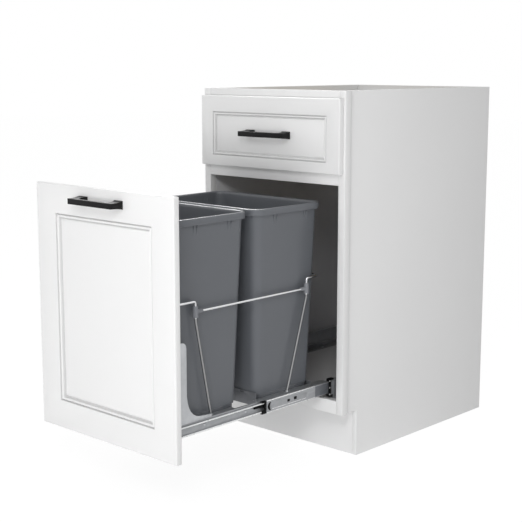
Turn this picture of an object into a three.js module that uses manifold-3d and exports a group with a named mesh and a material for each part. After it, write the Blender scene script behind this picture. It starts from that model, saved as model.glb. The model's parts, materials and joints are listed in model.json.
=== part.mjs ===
// Pull out waste bin cabinet: an 18 inch face-frame base cabinet with a shallow drawer above
// a door that rolls out on ball-bearing slides and carries two bins, one behind the other.
// Millimetres, +Z up, front towards -Y. Every length below is measured from the front of the
// face frame (Y = 0), the middle of the cabinet (X = 0) and the floor (Z = 0). The group at
// the end moves the whole so that its origin is the middle of its footprint.

import * as THREE from 'three';
import { mergeVertices } from 'three/addons/utils/BufferGeometryUtils.js';
import Module from 'manifold-3d';

const wasm = await Module();
wasm.setup();

// ---------------------------------------------------------------- driving dimensions

const CABINET_WIDTH = 457.2;
const CABINET_DEPTH = 609.6;
const CABINET_HEIGHT = 876.3;
const TOE_HEIGHT = 114.3;
const TOE_DEPTH = 63.5;
const BOARD = 12.7;
const FIT = 0.2;

const FRAME_DEPTH = 19.05;
const OPENING_HALF = 209.1;
const BOTTOM_RAIL_TOP = 146.4;
const MIDDLE_RAIL = [659.8, 697.9];
const TOP_RAIL_BOTTOM = 838.2;
const FLOOR_TOP = 142.4;

const FRONT_HALF = 224;
const FRONT_THICK = 15.6;
const FRONT_GAP = 0.4;
const DOOR_HEIGHTS = [126.7, 679.2];
const DRAWER_FRONT_HEIGHTS = [686.2, 859];
const DOOR_TRAVEL = 512;
const DOOR_BACK = -DOOR_TRAVEL - FRONT_GAP;

const HANDLE_LENGTH = 142;
const HANDLE_REACH = 32;
const HANDLE_BAR = 8;
const DOOR_HANDLE_HEIGHT = 650.5;
const DRAWER_HANDLE_HEIGHT = 770;
const SCREW_SPACING = 96;

const SLIDE_LENGTH = 508;
const SLIDE_SHEET = 1.5;
const SLIDE_OUTSIDE = 182.5;
const SLIDE_CENTRE_HEIGHT = 173;
const OUTER_SLIDE_START = 14;

const BIN_RIM_TOP = 622;
const BIN_FLOOR = 172;
const BIN_WALL = 2.2;
const BIN_CENTRES = { front: -366.6, rear: -119.3 };

const WIRE_RADIUS = 2.75;
const WIRE_SIDES = 8;
const BASE_RAIL_TOP = 187;

// ---------------------------------------------------------------- finishes

function finish(color, roughness, metalness) {
  return () => new THREE.MeshStandardMaterial({ color, roughness, metalness });
}

const whitePaint = finish(0xe8e8e6, 0.45, 0);
const carcassBoard = finish(0xcfcfce, 0.6, 0);
const drawerPly = finish(0xd9c7a5, 0.6, 0);
const blackMetal = finish(0x242426, 0.5, 0.3);
const zincSteel = finish(0xb9bcc0, 0.35, 0.9);
const chromeWire = finish(0xd5d7da, 0.15, 1);
const greyNylon = finish(0x8d9093, 0.5, 0);
const blackNylon = finish(0x17181a, 0.5, 0);
const binPlastic = finish(0x5f6368, 0.45, 0);

// ---------------------------------------------------------------- shape helpers

const cabinet = new THREE.Group();

function place(name, geometry, material) {
  const mesh = new THREE.Mesh(geometry, material());
  mesh.name = name;
  cabinet.add(mesh);
  return mesh;
}

// A board or block given by its ranges along X, Y and Z.
function block(name, xs, ys, zs, material) {
  const ranges = [xs, ys, zs];
  const geometry = new THREE.BoxGeometry(...ranges.map(([low, high]) => high - low));
  const mesh = place(name, geometry, material);
  mesh.position.set(...ranges.map(([low, high]) => (low + high) / 2));
  return mesh;
}

function outline(points) {
  return new THREE.Shape(points.map(([a, b]) => new THREE.Vector2(a, b)));
}

function extruded(shape, depth) {
  return new THREE.ExtrudeGeometry(shape, { depth, bevelEnabled: false, curveSegments: 6 });
}

const ALONG_X = new THREE.Matrix4().makeBasis(
  new THREE.Vector3(0, 1, 0),
  new THREE.Vector3(0, 0, 1),
  new THREE.Vector3(1, 0, 0),
);
const ALONG_Y = new THREE.Matrix4().makeRotationX(Math.PI / 2);

// A (Y, Z) outline extruded from one X to another.
function alongX(shape, [low, high]) {
  return extruded(shape, high - low).applyMatrix4(ALONG_X).translate(low, 0, 0);
}

// An (X, Z) outline extruded from one Y to another.
function alongY(shape, [low, high]) {
  return extruded(shape, high - low).applyMatrix4(ALONG_Y).translate(0, high, 0);
}

// An (X, Y) outline extruded from one Z to another.
function alongZ(shape, [low, high]) {
  return extruded(shape, high - low).translate(0, 0, low);
}

function boxBetween(xs, ys, zs) {
  return alongZ(outline([[xs[0], ys[0]], [xs[1], ys[0]], [xs[1], ys[1]], [xs[0], ys[1]]]), zs);
}

function solidOf(geometry) {
  const bare = geometry.clone();
  bare.deleteAttribute('normal');
  bare.deleteAttribute('uv');
  const merged = mergeVertices(bare, 1e-4);
  const vertProperties = new Float32Array(merged.attributes.position.array);
  const triVerts = new Uint32Array(merged.index.array);
  return new wasm.Manifold(new wasm.Mesh({ numProp: 3, vertProperties, triVerts }));
}

function geometryOf(solid) {
  const { vertProperties, triVerts } = solid.getMesh();
  const geometry = new THREE.BufferGeometry();
  geometry.setAttribute('position', new THREE.BufferAttribute(vertProperties, 3));
  geometry.setIndex(new THREE.BufferAttribute(triVerts, 1));
  geometry.computeVertexNormals();
  return geometry;
}

function joined(first, ...others) {
  return geometryOf(others.reduce((sum, next) => sum.add(solidOf(next)), solidOf(first)));
}

function cut(first, ...tools) {
  return geometryOf(tools.reduce((rest, tool) => rest.subtract(solidOf(tool)), solidOf(first)));
}

function common(first, second) {
  return geometryOf(solidOf(first).intersect(solidOf(second)));
}

// The same piece for the other side of the cabinet.
function mirrored(geometry) {
  const copy = geometry.index ? geometry.toNonIndexed() : geometry.clone();
  copy.scale(-1, 1, 1);
  const positions = copy.attributes.position;
  const corner = new THREE.Vector3();
  const swapped = new THREE.Vector3();
  for (let index = 0; index < positions.count; index += 3) {
    corner.fromBufferAttribute(positions, index + 1);
    swapped.fromBufferAttribute(positions, index + 2);
    positions.setXYZ(index + 1, swapped.x, swapped.y, swapped.z);
    positions.setXYZ(index + 2, corner.x, corner.y, corner.z);
  }
  copy.computeVertexNormals();
  return copy;
}

function placePair(name, rightGeometry, material) {
  place(`${name}_right`, rightGeometry, material);
  place(`${name}_left`, mirrored(rightGeometry), material);
}

// A cylinder or cone between two points.
function rod(from, to, startRadius, endRadius = startRadius, sides = 12) {
  const axis = new THREE.Vector3().subVectors(to, from);
  const turn = new THREE.Quaternion().setFromUnitVectors(
    new THREE.Vector3(0, 1, 0),
    axis.clone().normalize(),
  );
  const middle = new THREE.Vector3().addVectors(from, to).multiplyScalar(0.5);
  const geometry = new THREE.CylinderGeometry(endRadius, startRadius, axis.length(), sides);
  return geometry.applyQuaternion(turn).translate(middle.x, middle.y, middle.z);
}

// Skins a stack of closed rings that run anticlockwise seen from the last one. The first and
// the last ring are closed by a fan.
function ringLoft(rings) {
  const count = rings[0].length;
  const positions = rings.flat().flatMap((point) => [point.x, point.y, point.z]);
  const faces = [];
  for (let ring = 0; ring < rings.length - 1; ring += 1) {
    for (let step = 0; step < count; step += 1) {
      const next = (step + 1) % count;
      const low = ring * count;
      const high = low + count;
      faces.push(low + step, low + next, high + next);
      faces.push(low + step, high + next, high + step);
    }
  }
  const lastRing = (rings.length - 1) * count;
  for (let step = 1; step < count - 1; step += 1) {
    faces.push(0, step + 1, step);
    faces.push(lastRing, lastRing + step, lastRing + step + 1);
  }
  const geometry = new THREE.BufferGeometry();
  geometry.setAttribute('position', new THREE.Float32BufferAttribute(positions, 3));
  geometry.setIndex(faces);
  geometry.computeVertexNormals();
  return geometry;
}

// ---------------------------------------------------------------- carcass and face frame

const HALF_WIDTH = CABINET_WIDTH / 2;
const INSIDE = OPENING_HALF - FIT;
const CARCASS_FRONT = FRAME_DEPTH + FIT;
const BACK_INSIDE = CABINET_DEPTH - BOARD;

function sidePanels() {
  const profile = outline([
    [TOE_DEPTH, 0],
    [CABINET_DEPTH, 0],
    [CABINET_DEPTH, CABINET_HEIGHT],
    [CARCASS_FRONT, CABINET_HEIGHT],
    [CARCASS_FRONT, TOE_HEIGHT],
    [TOE_DEPTH, TOE_HEIGHT],
  ]);
  placePair('side_panel', alongX(profile, [OPENING_HALF, OPENING_HALF + BOARD]), whitePaint);
}

function carcassBoards() {
  const floor = [FLOOR_TOP - BOARD, FLOOR_TOP];
  const backRail = [770, 856];
  const backRailFront = BACK_INSIDE - 19;
  const across = [-INSIDE, INSIDE];
  block('back_panel', across, [BACK_INSIDE, CABINET_DEPTH], [0, CABINET_HEIGHT], carcassBoard);
  block('floor_panel', across, [CARCASS_FRONT, BACK_INSIDE - FIT], floor, carcassBoard);
  block('toe_kick_board', across, [TOE_DEPTH, TOE_DEPTH + BOARD], [0, floor[0] - FIT], whitePaint);
  block('back_rail', across, [backRailFront, BACK_INSIDE - FIT], backRail, carcassBoard);
}

function cornerBraces() {
  const leg = 75;
  const tip = 12;
  const heights = [842, 858];
  const corner = [INSIDE, CARCASS_FRONT];
  const shape = outline([
    corner,
    [corner[0], corner[1] + leg],
    [corner[0] - tip, corner[1] + leg],
    [corner[0] - leg, corner[1] + tip],
    [corner[0] - leg, corner[1]],
  ]);
  placePair('corner_brace', alongZ(shape, heights), carcassBoard);
}

function faceFrame() {
  const depth = [0, FRAME_DEPTH];
  const across = [-INSIDE, INSIDE];
  const tall = [TOE_HEIGHT, CABINET_HEIGHT];
  block('stile_left', [-HALF_WIDTH, -OPENING_HALF], depth, tall, whitePaint);
  block('stile_right', [OPENING_HALF, HALF_WIDTH], depth, tall, whitePaint);
  block('rail_bottom', across, depth, [TOE_HEIGHT, BOTTOM_RAIL_TOP], whitePaint);
  block('rail_middle', across, depth, MIDDLE_RAIL, whitePaint);
  block('rail_top', across, depth, [TOP_RAIL_BOTTOM, CABINET_HEIGHT], whitePaint);
}

// ---------------------------------------------------------------- moulded fronts

// Each step of the moulding is [inset from the moulding's edge, depth below the face]: a quirk,
// a bead, a groove and the rise to the panel.
const DOOR_MOULDING = [
  [0, 0], [1, 3.4], [2.6, 3.6], [3.4, 1.6], [5.6, 0.5], [7.8, 1.6], [9, 4.6], [10.4, 6.7],
  [12, 6.7], [15, 6.1], [18.2, 5.6],
];
const DRAWER_MOULDING = [
  [0, 0], [0.9, 3], [2.2, 3], [3, 1.2], [5, 0.3], [7, 1.2], [8.2, 4.2], [9.6, 5.6],
  [11, 5.4], [13, 4.4],
];
const EDGE_ROUND = 1.2;

function rectangleRing([left, right, low, high], inset, height) {
  return [
    new THREE.Vector3(left + inset, low + inset, height),
    new THREE.Vector3(right - inset, low + inset, height),
    new THREE.Vector3(right - inset, high - inset, height),
    new THREE.Vector3(left + inset, high - inset, height),
  ];
}

function mouldedFront(heights, frame, moulding) {
  const whole = [-FRONT_HALF, FRONT_HALF, ...heights];
  return ringLoft([
    rectangleRing(whole, 0, 0),
    rectangleRing(whole, 0, FRONT_THICK - EDGE_ROUND),
    rectangleRing(whole, EDGE_ROUND, FRONT_THICK),
    ...moulding.map(([inset, depth]) => rectangleRing(frame, inset, FRONT_THICK - depth)),
  ]).applyMatrix4(ALONG_Y);
}

function screwHoles(centreHeight, ys, radius) {
  return [-1, 1].map((side) => rod(
    new THREE.Vector3(side * SCREW_SPACING / 2, ys[0], centreHeight),
    new THREE.Vector3(side * SCREW_SPACING / 2, ys[1], centreHeight),
    radius,
  ));
}

// ---------------------------------------------------------------- handles

const FOOT_WIDTH = 28;
const FOOT_HALF_HEIGHT = 9;
const BAR_HALF_HEIGHT = 6;
const SCREW_RADIUS = 2;
const SCREW_DEPTH = 12;

// A flat bar on two feet that flare towards the front they are screwed to. It is the common
// part of a plan extruded upwards and a side profile extruded along the bar.
function bridgeHandle(face, centreHeight) {
  const half = HANDLE_LENGTH / 2;
  const barBack = HANDLE_BAR - HANDLE_REACH;
  const plan = new THREE.Shape();
  plan.moveTo(-half, 0);
  plan.lineTo(-half, -HANDLE_REACH);
  plan.lineTo(half, -HANDLE_REACH);
  plan.lineTo(half, 0);
  plan.lineTo(half - FOOT_WIDTH, 0);
  plan.quadraticCurveTo(half - FOOT_WIDTH / 2, barBack / 2, half - FOOT_WIDTH, barBack);
  plan.lineTo(FOOT_WIDTH - half, barBack);
  plan.quadraticCurveTo(FOOT_WIDTH / 2 - half, barBack / 2, FOOT_WIDTH - half, 0);
  plan.closePath();
  const side = new THREE.Shape();
  side.moveTo(0, -FOOT_HALF_HEIGHT);
  side.lineTo(0, FOOT_HALF_HEIGHT);
  side.quadraticCurveTo(barBack / 2, BAR_HALF_HEIGHT, barBack, BAR_HALF_HEIGHT);
  side.lineTo(-HANDLE_REACH, BAR_HALF_HEIGHT);
  side.lineTo(-HANDLE_REACH, -BAR_HALF_HEIGHT);
  side.lineTo(barBack, -BAR_HALF_HEIGHT);
  side.quadraticCurveTo(barBack / 2, -BAR_HALF_HEIGHT, 0, -FOOT_HALF_HEIGHT);
  const bar = common(
    alongZ(plan, [-FOOT_HALF_HEIGHT, FOOT_HALF_HEIGHT]),
    alongX(side, [-half, half]),
  );
  return bar.translate(0, face - FIT, centreHeight);
}

function doorAndHandle() {
  const frame = [-158.2, 158.2, 190.2, 615.4];
  const face = DOOR_BACK - FRONT_THICK;
  const panel = mouldedFront(DOOR_HEIGHTS, frame, DOOR_MOULDING).translate(0, DOOR_BACK, 0);
  const throughDoor = screwHoles(DOOR_HANDLE_HEIGHT, [face - 1, DOOR_BACK + 1], SCREW_RADIUS + 0.5);
  place('door_front', cut(panel, ...throughDoor), whitePaint);
  const tip = face - SCREW_DEPTH;
  const blind = screwHoles(DOOR_HANDLE_HEIGHT, [tip - 0.5, face + 1], SCREW_RADIUS + 0.4);
  place('door_handle', cut(bridgeHandle(face, DOOR_HANDLE_HEIGHT), ...blind), blackMetal);
  const headDepth = 3;
  const headRadius = 4.5;
  const right = SCREW_SPACING / 2;
  const under = DOOR_BACK + FIT;
  const at = (y) => new THREE.Vector3(right, y, DOOR_HANDLE_HEIGHT);
  const screw = joined(
    rod(at(tip), at(under + 1), SCREW_RADIUS),
    rod(at(under), at(under + headDepth), headRadius, headRadius - 1),
  );
  placePair('door_handle_screw', screw, zincSteel);
}

function drawerFrontAndHandle() {
  const frame = [-185, 185, 711.4, 820.4];
  const back = -FRONT_GAP;
  const front = mouldedFront(DRAWER_FRONT_HEIGHTS, frame, DRAWER_MOULDING).translate(0, back, 0);
  place('drawer_front', front, whitePaint);
  const recess = DRAWER_MOULDING.at(-1)[1];
  const face = back - FRONT_THICK + recess;
  place('drawer_handle', bridgeHandle(face, DRAWER_HANDLE_HEIGHT), blackMetal);
}

// ---------------------------------------------------------------- ball-bearing slides

// Half heights of the nested members, and where each web and lip stands, measured inwards
// from the outside of the set. The inner member opens outwards and the other two inwards.
const INNER_MEMBER = { half: 10.6, web: [11.7, 13.1], lips: 5.8, opensOut: true };
const MIDDLE_MEMBER = { half: 14.7, web: [3.4, 5], lips: 10.5, opensOut: false };
const OUTER_MEMBER = { half: 18, web: [0, 1.6], lips: 10, opensOut: false };

function channelShape(member, outside, height) {
  const [webOut, webIn] = member.web.map((depth) => outside - depth);
  const lipEnd = outside - member.lips;
  const webBack = member.opensOut ? webIn : webOut;
  const webFace = member.opensOut ? webOut : webIn;
  const low = height - member.half;
  const high = height + member.half;
  return outline([
    [webBack, low],
    [lipEnd, low],
    [lipEnd, low + SLIDE_SHEET],
    [webFace, low + SLIDE_SHEET],
    [webFace, high - SLIDE_SHEET],
    [lipEnd, high - SLIDE_SHEET],
    [lipEnd, high],
    [webBack, high],
  ]);
}

function middleHoles(outside, height, front) {
  const ys = [73.5, 97];
  return ys.map((y) => rod(
    new THREE.Vector3(outside - 8, front + y, height),
    new THREE.Vector3(outside + 1, front + y, height),
    3.2,
  ));
}

const MIDDLE_FRONT = -209.5;
const MIDDLE_LENGTH = 459;
const BUMPER_DEPTH = 15;
const SLIDE_FOOT_EDGE = 155;

function pullOutSlides() {
  const height = SLIDE_CENTRE_HEIGHT;
  const outerRange = [OUTER_SLIDE_START, OUTER_SLIDE_START + SLIDE_LENGTH];
  const innerRange = outerRange.map((y) => y - DOOR_TRAVEL);
  const middleRange = [MIDDLE_FRONT, MIDDLE_FRONT + MIDDLE_LENGTH];
  const channel = (member, range) => alongY(channelShape(member, SLIDE_OUTSIDE, height), range);
  placePair('slide_outer', channel(OUTER_MEMBER, outerRange), zincSteel);
  const middle = channel(MIDDLE_MEMBER, middleRange);
  const holes = middleHoles(SLIDE_OUTSIDE, height, MIDDLE_FRONT);
  placePair('slide_middle', cut(middle, ...holes), zincSteel);
  const pivot = leverPivotPin(INNER_MEMBER.web[1] - 0.4, 6.2, 1.4);
  placePair('slide_inner', joined(channel(INNER_MEMBER, innerRange), pivot), zincSteel);
  const bumper = channelShape({ ...MIDDLE_MEMBER, web: [3.4, 5.4] }, SLIDE_OUTSIDE, height);
  const bumperRange = [MIDDLE_FRONT - BUMPER_DEPTH, MIDDLE_FRONT - FIT];
  placePair('slide_bumper', alongY(bumper, bumperRange), blackNylon);
  const footIn = SLIDE_OUTSIDE + FIT;
  const footBase = FLOOR_TOP + FIT;
  const foot = outline([
    [SLIDE_FOOT_EDGE, footBase],
    [footIn + SLIDE_SHEET, footBase],
    [footIn + SLIDE_SHEET, height + 14],
    [footIn, height + 14],
    [footIn, footBase + SLIDE_SHEET],
    [SLIDE_FOOT_EDGE, footBase + SLIDE_SHEET],
  ]);
  placePair('slide_foot', alongY(foot, [CARCASS_FRONT + 1, outerRange[1]]), zincSteel);
}

const LEVER_PIVOT = { y: -194, z: 173.7 };

// A pin along X at the lever's pivot, between two depths below the outside of the slides.
function leverPivotPin(inner, outer, radius) {
  const { y, z } = LEVER_PIVOT;
  const end = (depth) => new THREE.Vector3(SLIDE_OUTSIDE - depth, y, z);
  return rod(end(inner), end(outer), radius);
}

// The lever turns on a pin in the inner member's channel and frees it from the middle member.
function releaseLevers() {
  const web = SLIDE_OUTSIDE - INNER_MEMBER.web[0];
  const { y, z } = LEVER_PIVOT;
  const arm = new THREE.Shape();
  arm.absarc(y, z, 4, -Math.PI / 2, Math.PI / 2, false);
  arm.lineTo(y - 34, z + 5);
  arm.lineTo(y - 50, z + 5.5);
  arm.lineTo(y - 52, z + 1);
  arm.lineTo(y - 34, z);
  arm.closePath();
  const hole = leverPivotPin(INNER_MEMBER.web[0], 5, 1.8);
  placePair('release_lever', cut(alongX(arm, [web + 0.5, web + 5.3]), hole), blackNylon);
}

const DRAWER_SLIDE_HEIGHT = 752;
const DRAWER_SLIDE_START = 21;
const DRAWER_MIDDLE_LENGTH = 480;

function drawerSlides() {
  const members = { outer: OUTER_MEMBER, middle: MIDDLE_MEMBER, inner: INNER_MEMBER };
  for (const [name, member] of Object.entries(members)) {
    const length = name === 'middle' ? DRAWER_MIDDLE_LENGTH : SLIDE_LENGTH;
    const range = [DRAWER_SLIDE_START, DRAWER_SLIDE_START + length];
    const channel = alongY(channelShape(member, INSIDE, DRAWER_SLIDE_HEIGHT), range);
    placePair(`drawer_slide_${name}`, channel, zincSteel);
  }
}

// ---------------------------------------------------------------- drawer box

function drawerBox() {
  const outside = INSIDE - INNER_MEMBER.web[1] - FIT;
  const inside = outside - BOARD;
  const across = [FIT - inside, inside - FIT];
  const heights = [712, 815];
  const depth = [-FIT, 508];
  const sheet = [722, 727];
  const inner = [depth[0] + BOARD + FIT, depth[1] - BOARD - FIT];
  block('drawer_side_right', [inside, outside], depth, heights, drawerPly);
  block('drawer_side_left', [-outside, -inside], depth, heights, drawerPly);
  block('drawer_box_front', across, [depth[0], depth[0] + BOARD], heights, drawerPly);
  block('drawer_box_back', across, [depth[1] - BOARD, depth[1]], heights, drawerPly);
  block('drawer_bottom', across, inner, sheet, drawerPly);
}

// ---------------------------------------------------------------- base frame and brackets

const RAIL_WEB = SLIDE_OUTSIDE - INNER_MEMBER.web[1] - FIT;
const RAIL_FLANGE_EDGE = 151.5;
const RAIL_LOW = 166;
const INNER_FRONT = OUTER_SLIDE_START - DOOR_TRAVEL;

function baseRails() {
  const sheet = SLIDE_SHEET;
  const shape = outline([
    [RAIL_WEB - sheet, RAIL_LOW],
    [RAIL_WEB, RAIL_LOW],
    [RAIL_WEB, BASE_RAIL_TOP],
    [RAIL_FLANGE_EDGE, BASE_RAIL_TOP],
    [RAIL_FLANGE_EDGE, BASE_RAIL_TOP - sheet],
    [RAIL_WEB - sheet, BASE_RAIL_TOP - sheet],
  ]);
  placePair('base_rail', alongY(shape, [DOOR_BACK + 4, INNER_FRONT + SLIDE_LENGTH]), zincSteel);
}

// A cross rail has an upright plate beside the bin and a ledge under it.
function crossRail(name, plateY, ledgeSide, plateTop) {
  const sheet = SLIDE_SHEET;
  const ledge = 26 * ledgeSide;
  const low = BIN_FLOOR - FIT - sheet;
  const wide = RAIL_WEB - sheet - FIT;
  const narrow = RAIL_FLANGE_EDGE - FIT;
  const shoulder = BASE_RAIL_TOP - sheet - FIT;
  const back = plateY - sheet * ledgeSide;
  const angle = outline([
    [plateY, plateTop],
    [back, plateTop],
    [back, low],
    [plateY + ledge, low],
    [plateY + ledge, low + sheet],
    [plateY, low + sheet],
  ]);
  const front = outline([
    [-wide, low - 1],
    [wide, low - 1],
    [wide, shoulder],
    [narrow, shoulder],
    [narrow, plateTop + 1],
    [-narrow, plateTop + 1],
    [-narrow, shoulder],
    [-wide, shoulder],
  ]);
  const reach = [plateY - 40, plateY + 40];
  place(name, common(alongX(angle, [-wide, wide]), alongY(front, reach)), zincSteel);
}

function crossRails() {
  const nearHalf = 95;
  const tall = 201;
  const short = BASE_RAIL_TOP - SLIDE_SHEET - 1;
  crossRail('cross_rail_1', BIN_CENTRES.front - nearHalf, 1, tall);
  crossRail('cross_rail_2', BIN_CENTRES.front + nearHalf, -1, short);
  crossRail('cross_rail_3', BIN_CENTRES.rear - nearHalf, 1, tall);
  crossRail('cross_rail_4', BIN_CENTRES.rear + nearHalf, -1, tall);
}

// The brackets stand inboard of the slides' lips, which pass beside them when the door shuts.
function doorBrackets() {
  const sheet = 2;
  const web = [RAIL_WEB, RAIL_WEB + sheet];
  const front = DOOR_BACK + FIT;
  const foot = BASE_RAIL_TOP + FIT;
  const top = 364;
  const edge = -448;
  const tail = -375.5;
  const side = new THREE.Shape();
  side.moveTo(front, foot);
  side.lineTo(tail, foot);
  side.lineTo(tail, foot + 6);
  side.lineTo(-411, foot + 9);
  side.quadraticCurveTo(-444, 201, edge, 247);
  side.lineTo(edge, top - 16);
  side.quadraticCurveTo(edge, top, edge - 13, top);
  side.lineTo(front, top);
  side.closePath();
  const inward = [RAIL_FLANGE_EDGE + 1, web[1]];
  const bracket = joined(
    alongX(side, web),
    boxBetween(inward, [front, front + sheet], [foot, top]),
    boxBetween(inward, [front, tail - 6], [foot, foot + sheet]),
  );
  placePair('door_bracket', bracket, zincSteel);
}

// ---------------------------------------------------------------- wire hoops

// Each leg leans outwards from the middle of its bin up to a kink, and stands upright above it.
const LEG_FOOT_SIDE = 159;
const LEG_KINK_HEIGHT = 405;
const LEG_TOP = { front: [168, -418, 446], rear: [168, -63, 448] };
const HOOP_END = { front: -480, rear: -10 };
const FOOT_CLEAR = 0.8;
const ROD_HEIGHT = 424;

const BEND_STATIONS = 4;

// A wire's centre line, given by its stations: the ends of its straight runs and a few
// points round each bend.
class WirePath extends THREE.Curve {
  constructor(stations) {
    super();
    this.stations = stations;
  }

  getSpacedPoints() {
    return this.stations;
  }

  getTangentAt(share) {
    const last = this.stations.length - 1;
    const index = Math.round(share * last);
    const before = this.stations[Math.max(index - 1, 0)];
    const after = this.stations[Math.min(index + 1, last)];
    return new THREE.Vector3().subVectors(after, before).normalize();
  }
}

function bentWire(corners, reaches) {
  const stations = [corners[0]];
  reaches.forEach((reach, bend) => {
    const corner = corners[bend + 1];
    const enter = corners[bend].clone().sub(corner).setLength(reach).add(corner);
    const leave = corners[bend + 2].clone().sub(corner).setLength(reach).add(corner);
    const curve = new THREE.QuadraticBezierCurve3(enter, corner, leave);
    stations.push(...curve.getPoints(BEND_STATIONS));
  });
  stations.push(corners.at(-1));
  const extrudePath = new WirePath(stations);
  const settings = { steps: stations.length - 1, bevelEnabled: false, extrudePath };
  return new THREE.ExtrudeGeometry(roundSection(WIRE_RADIUS, WIRE_SIDES), settings);
}

function roundSection(radius, sides) {
  const points = [];
  for (let side = 0; side < sides; side += 1) {
    const angle = (side + 0.5) * 2 * Math.PI / sides;
    points.push([radius * Math.cos(angle), radius * Math.sin(angle)]);
  }
  return outline(points);
}

function wireHoop(end) {
  const [topX, topY, topZ] = LEG_TOP[end];
  const side = (sign) => [
    new THREE.Vector3(sign * LEG_FOOT_SIDE, BIN_CENTRES[end], BASE_RAIL_TOP + FOOT_CLEAR),
    new THREE.Vector3(sign * topX, topY, LEG_KINK_HEIGHT),
    new THREE.Vector3(sign * topX, topY, topZ),
    new THREE.Vector3(sign * topX, HOOP_END[end], topZ),
  ];
  const corners = [...side(1), ...side(-1).reverse()];
  place(`wire_hoop_${end}`, bentWire(corners, [6, 6, 28, 28, 6, 6]), chromeWire);
}

// A moulded tee slides over the leg and takes the end of the side rod in its cone.
function rodClip(end, towards) {
  const [x, y] = LEG_TOP[end];
  const upright = (low, high, radius) => rod(
    new THREE.Vector3(x, y, ROD_HEIGHT + low),
    new THREE.Vector3(x, y, ROD_HEIGHT + high),
    radius,
  );
  const along = (distance) => new THREE.Vector3(x, y + towards * distance, ROD_HEIGHT);
  const body = joined(upright(-13, 15, 5.4), rod(along(0), along(20), 5, 3.9));
  const clip = cut(body, upright(-30, 30, 3.3), rod(along(7), along(30), 3.1));
  placePair(`rod_clip_${end}`, clip, greyNylon);
  return along(8);
}

function sideRods() {
  const from = rodClip('front', 1);
  const to = rodClip('rear', -1);
  placePair('side_rod', rod(from, to, WIRE_RADIUS, WIRE_RADIUS, WIRE_SIDES), chromeWire);
}

// ---------------------------------------------------------------- bins

const BIN_TOP = { half: [163.7, 106.9], radius: 23.5, height: 606.4 };
const BIN_LOW = { half: [147.5, 92.4], radius: 20 };
const LIP_REACH = 7.5;
const CORNER_STEPS = 6;

function roundedRing(halfX, halfY, radius, height) {
  const ring = [];
  const centres = [[1, 1], [-1, 1], [-1, -1], [1, -1]];
  centres.forEach(([signX, signY], quarter) => {
    for (let step = 0; step <= CORNER_STEPS; step += 1) {
      const angle = (quarter + step / CORNER_STEPS) * Math.PI / 2;
      ring.push(new THREE.Vector3(
        signX * (halfX - radius) + radius * Math.cos(angle),
        signY * (halfY - radius) + radius * Math.sin(angle),
        height,
      ));
    }
  });
  return ring;
}

// The body's half sizes and corner radius at a height, grown or shrunk by an offset.
function binRing(height, offset) {
  const share = (height - BIN_FLOOR) / (BIN_TOP.height - BIN_FLOOR);
  const [halfX, halfY] = BIN_LOW.half.map((low, axis) => low + share * (BIN_TOP.half[axis] - low));
  const radius = BIN_LOW.radius + share * (BIN_TOP.radius - BIN_LOW.radius);
  return roundedRing(halfX + offset, halfY + offset, radius + offset, height);
}

function atHeight(ring, height) {
  return ring.map((point) => point.clone().setZ(height));
}

function bin(name, centreY) {
  const step = 3;
  const stepHeight = BIN_FLOOR + 19;
  const lipLow = BIN_TOP.height;
  const lipOut = binRing(lipLow, LIP_REACH);
  const rings = [
    binRing(BIN_FLOOR, -9),
    binRing(BIN_FLOOR + 2.5, -4.5),
    binRing(BIN_FLOOR + 7, -step),
    binRing(stepHeight, -step),
    binRing(stepHeight + 2, 0),
    binRing(lipLow + 2, 0),
    atHeight(binRing(lipLow, LIP_REACH - 0.8), lipLow),
    atHeight(lipOut, lipLow + 1),
    atHeight(lipOut, BIN_RIM_TOP - 3),
    atHeight(binRing(lipLow, LIP_REACH - 1.2), BIN_RIM_TOP - 0.8),
    atHeight(binRing(lipLow, LIP_REACH - 3.4), BIN_RIM_TOP),
    atHeight(binRing(lipLow, 0.6), BIN_RIM_TOP - 1.4),
    atHeight(binRing(lipLow, -BIN_WALL), BIN_RIM_TOP - 5),
    binRing(stepHeight + 2, -BIN_WALL),
    binRing(stepHeight, -step - BIN_WALL),
    binRing(BIN_FLOOR + 8, -step - BIN_WALL),
    atHeight(binRing(BIN_FLOOR, -9), BIN_FLOOR + BIN_WALL),
  ];
  place(name, ringLoft(rings), binPlastic).position.y = centreY;
}

// ---------------------------------------------------------------- assembly

sidePanels();
carcassBoards();
cornerBraces();
faceFrame();
doorAndHandle();
drawerFrontAndHandle();
pullOutSlides();
releaseLevers();
drawerSlides();
drawerBox();
baseRails();
crossRails();
doorBrackets();
wireHoop('front');
wireHoop('rear');
sideRods();
bin('bin_front', BIN_CENTRES.front);
bin('bin_rear', BIN_CENTRES.rear);

// The handle's face is the foremost point with the door drawn out.
const FOREMOST = DOOR_BACK - FRONT_THICK - FIT - HANDLE_REACH;
cabinet.position.y = -(CABINET_DEPTH + FOREMOST) / 2;

export default cabinet;
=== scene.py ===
# Pull-out waste bin cabinet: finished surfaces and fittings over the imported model.
# Named lengths and the places given to at() are millimetres: X from the middle of the cabinet,
# Y from the front of its face frame, Z from the floor. Pieces come in pairs, and the right one
# is modelled first.

import json
import math

import bmesh
import bpy
from mathutils import Matrix, Vector


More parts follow.
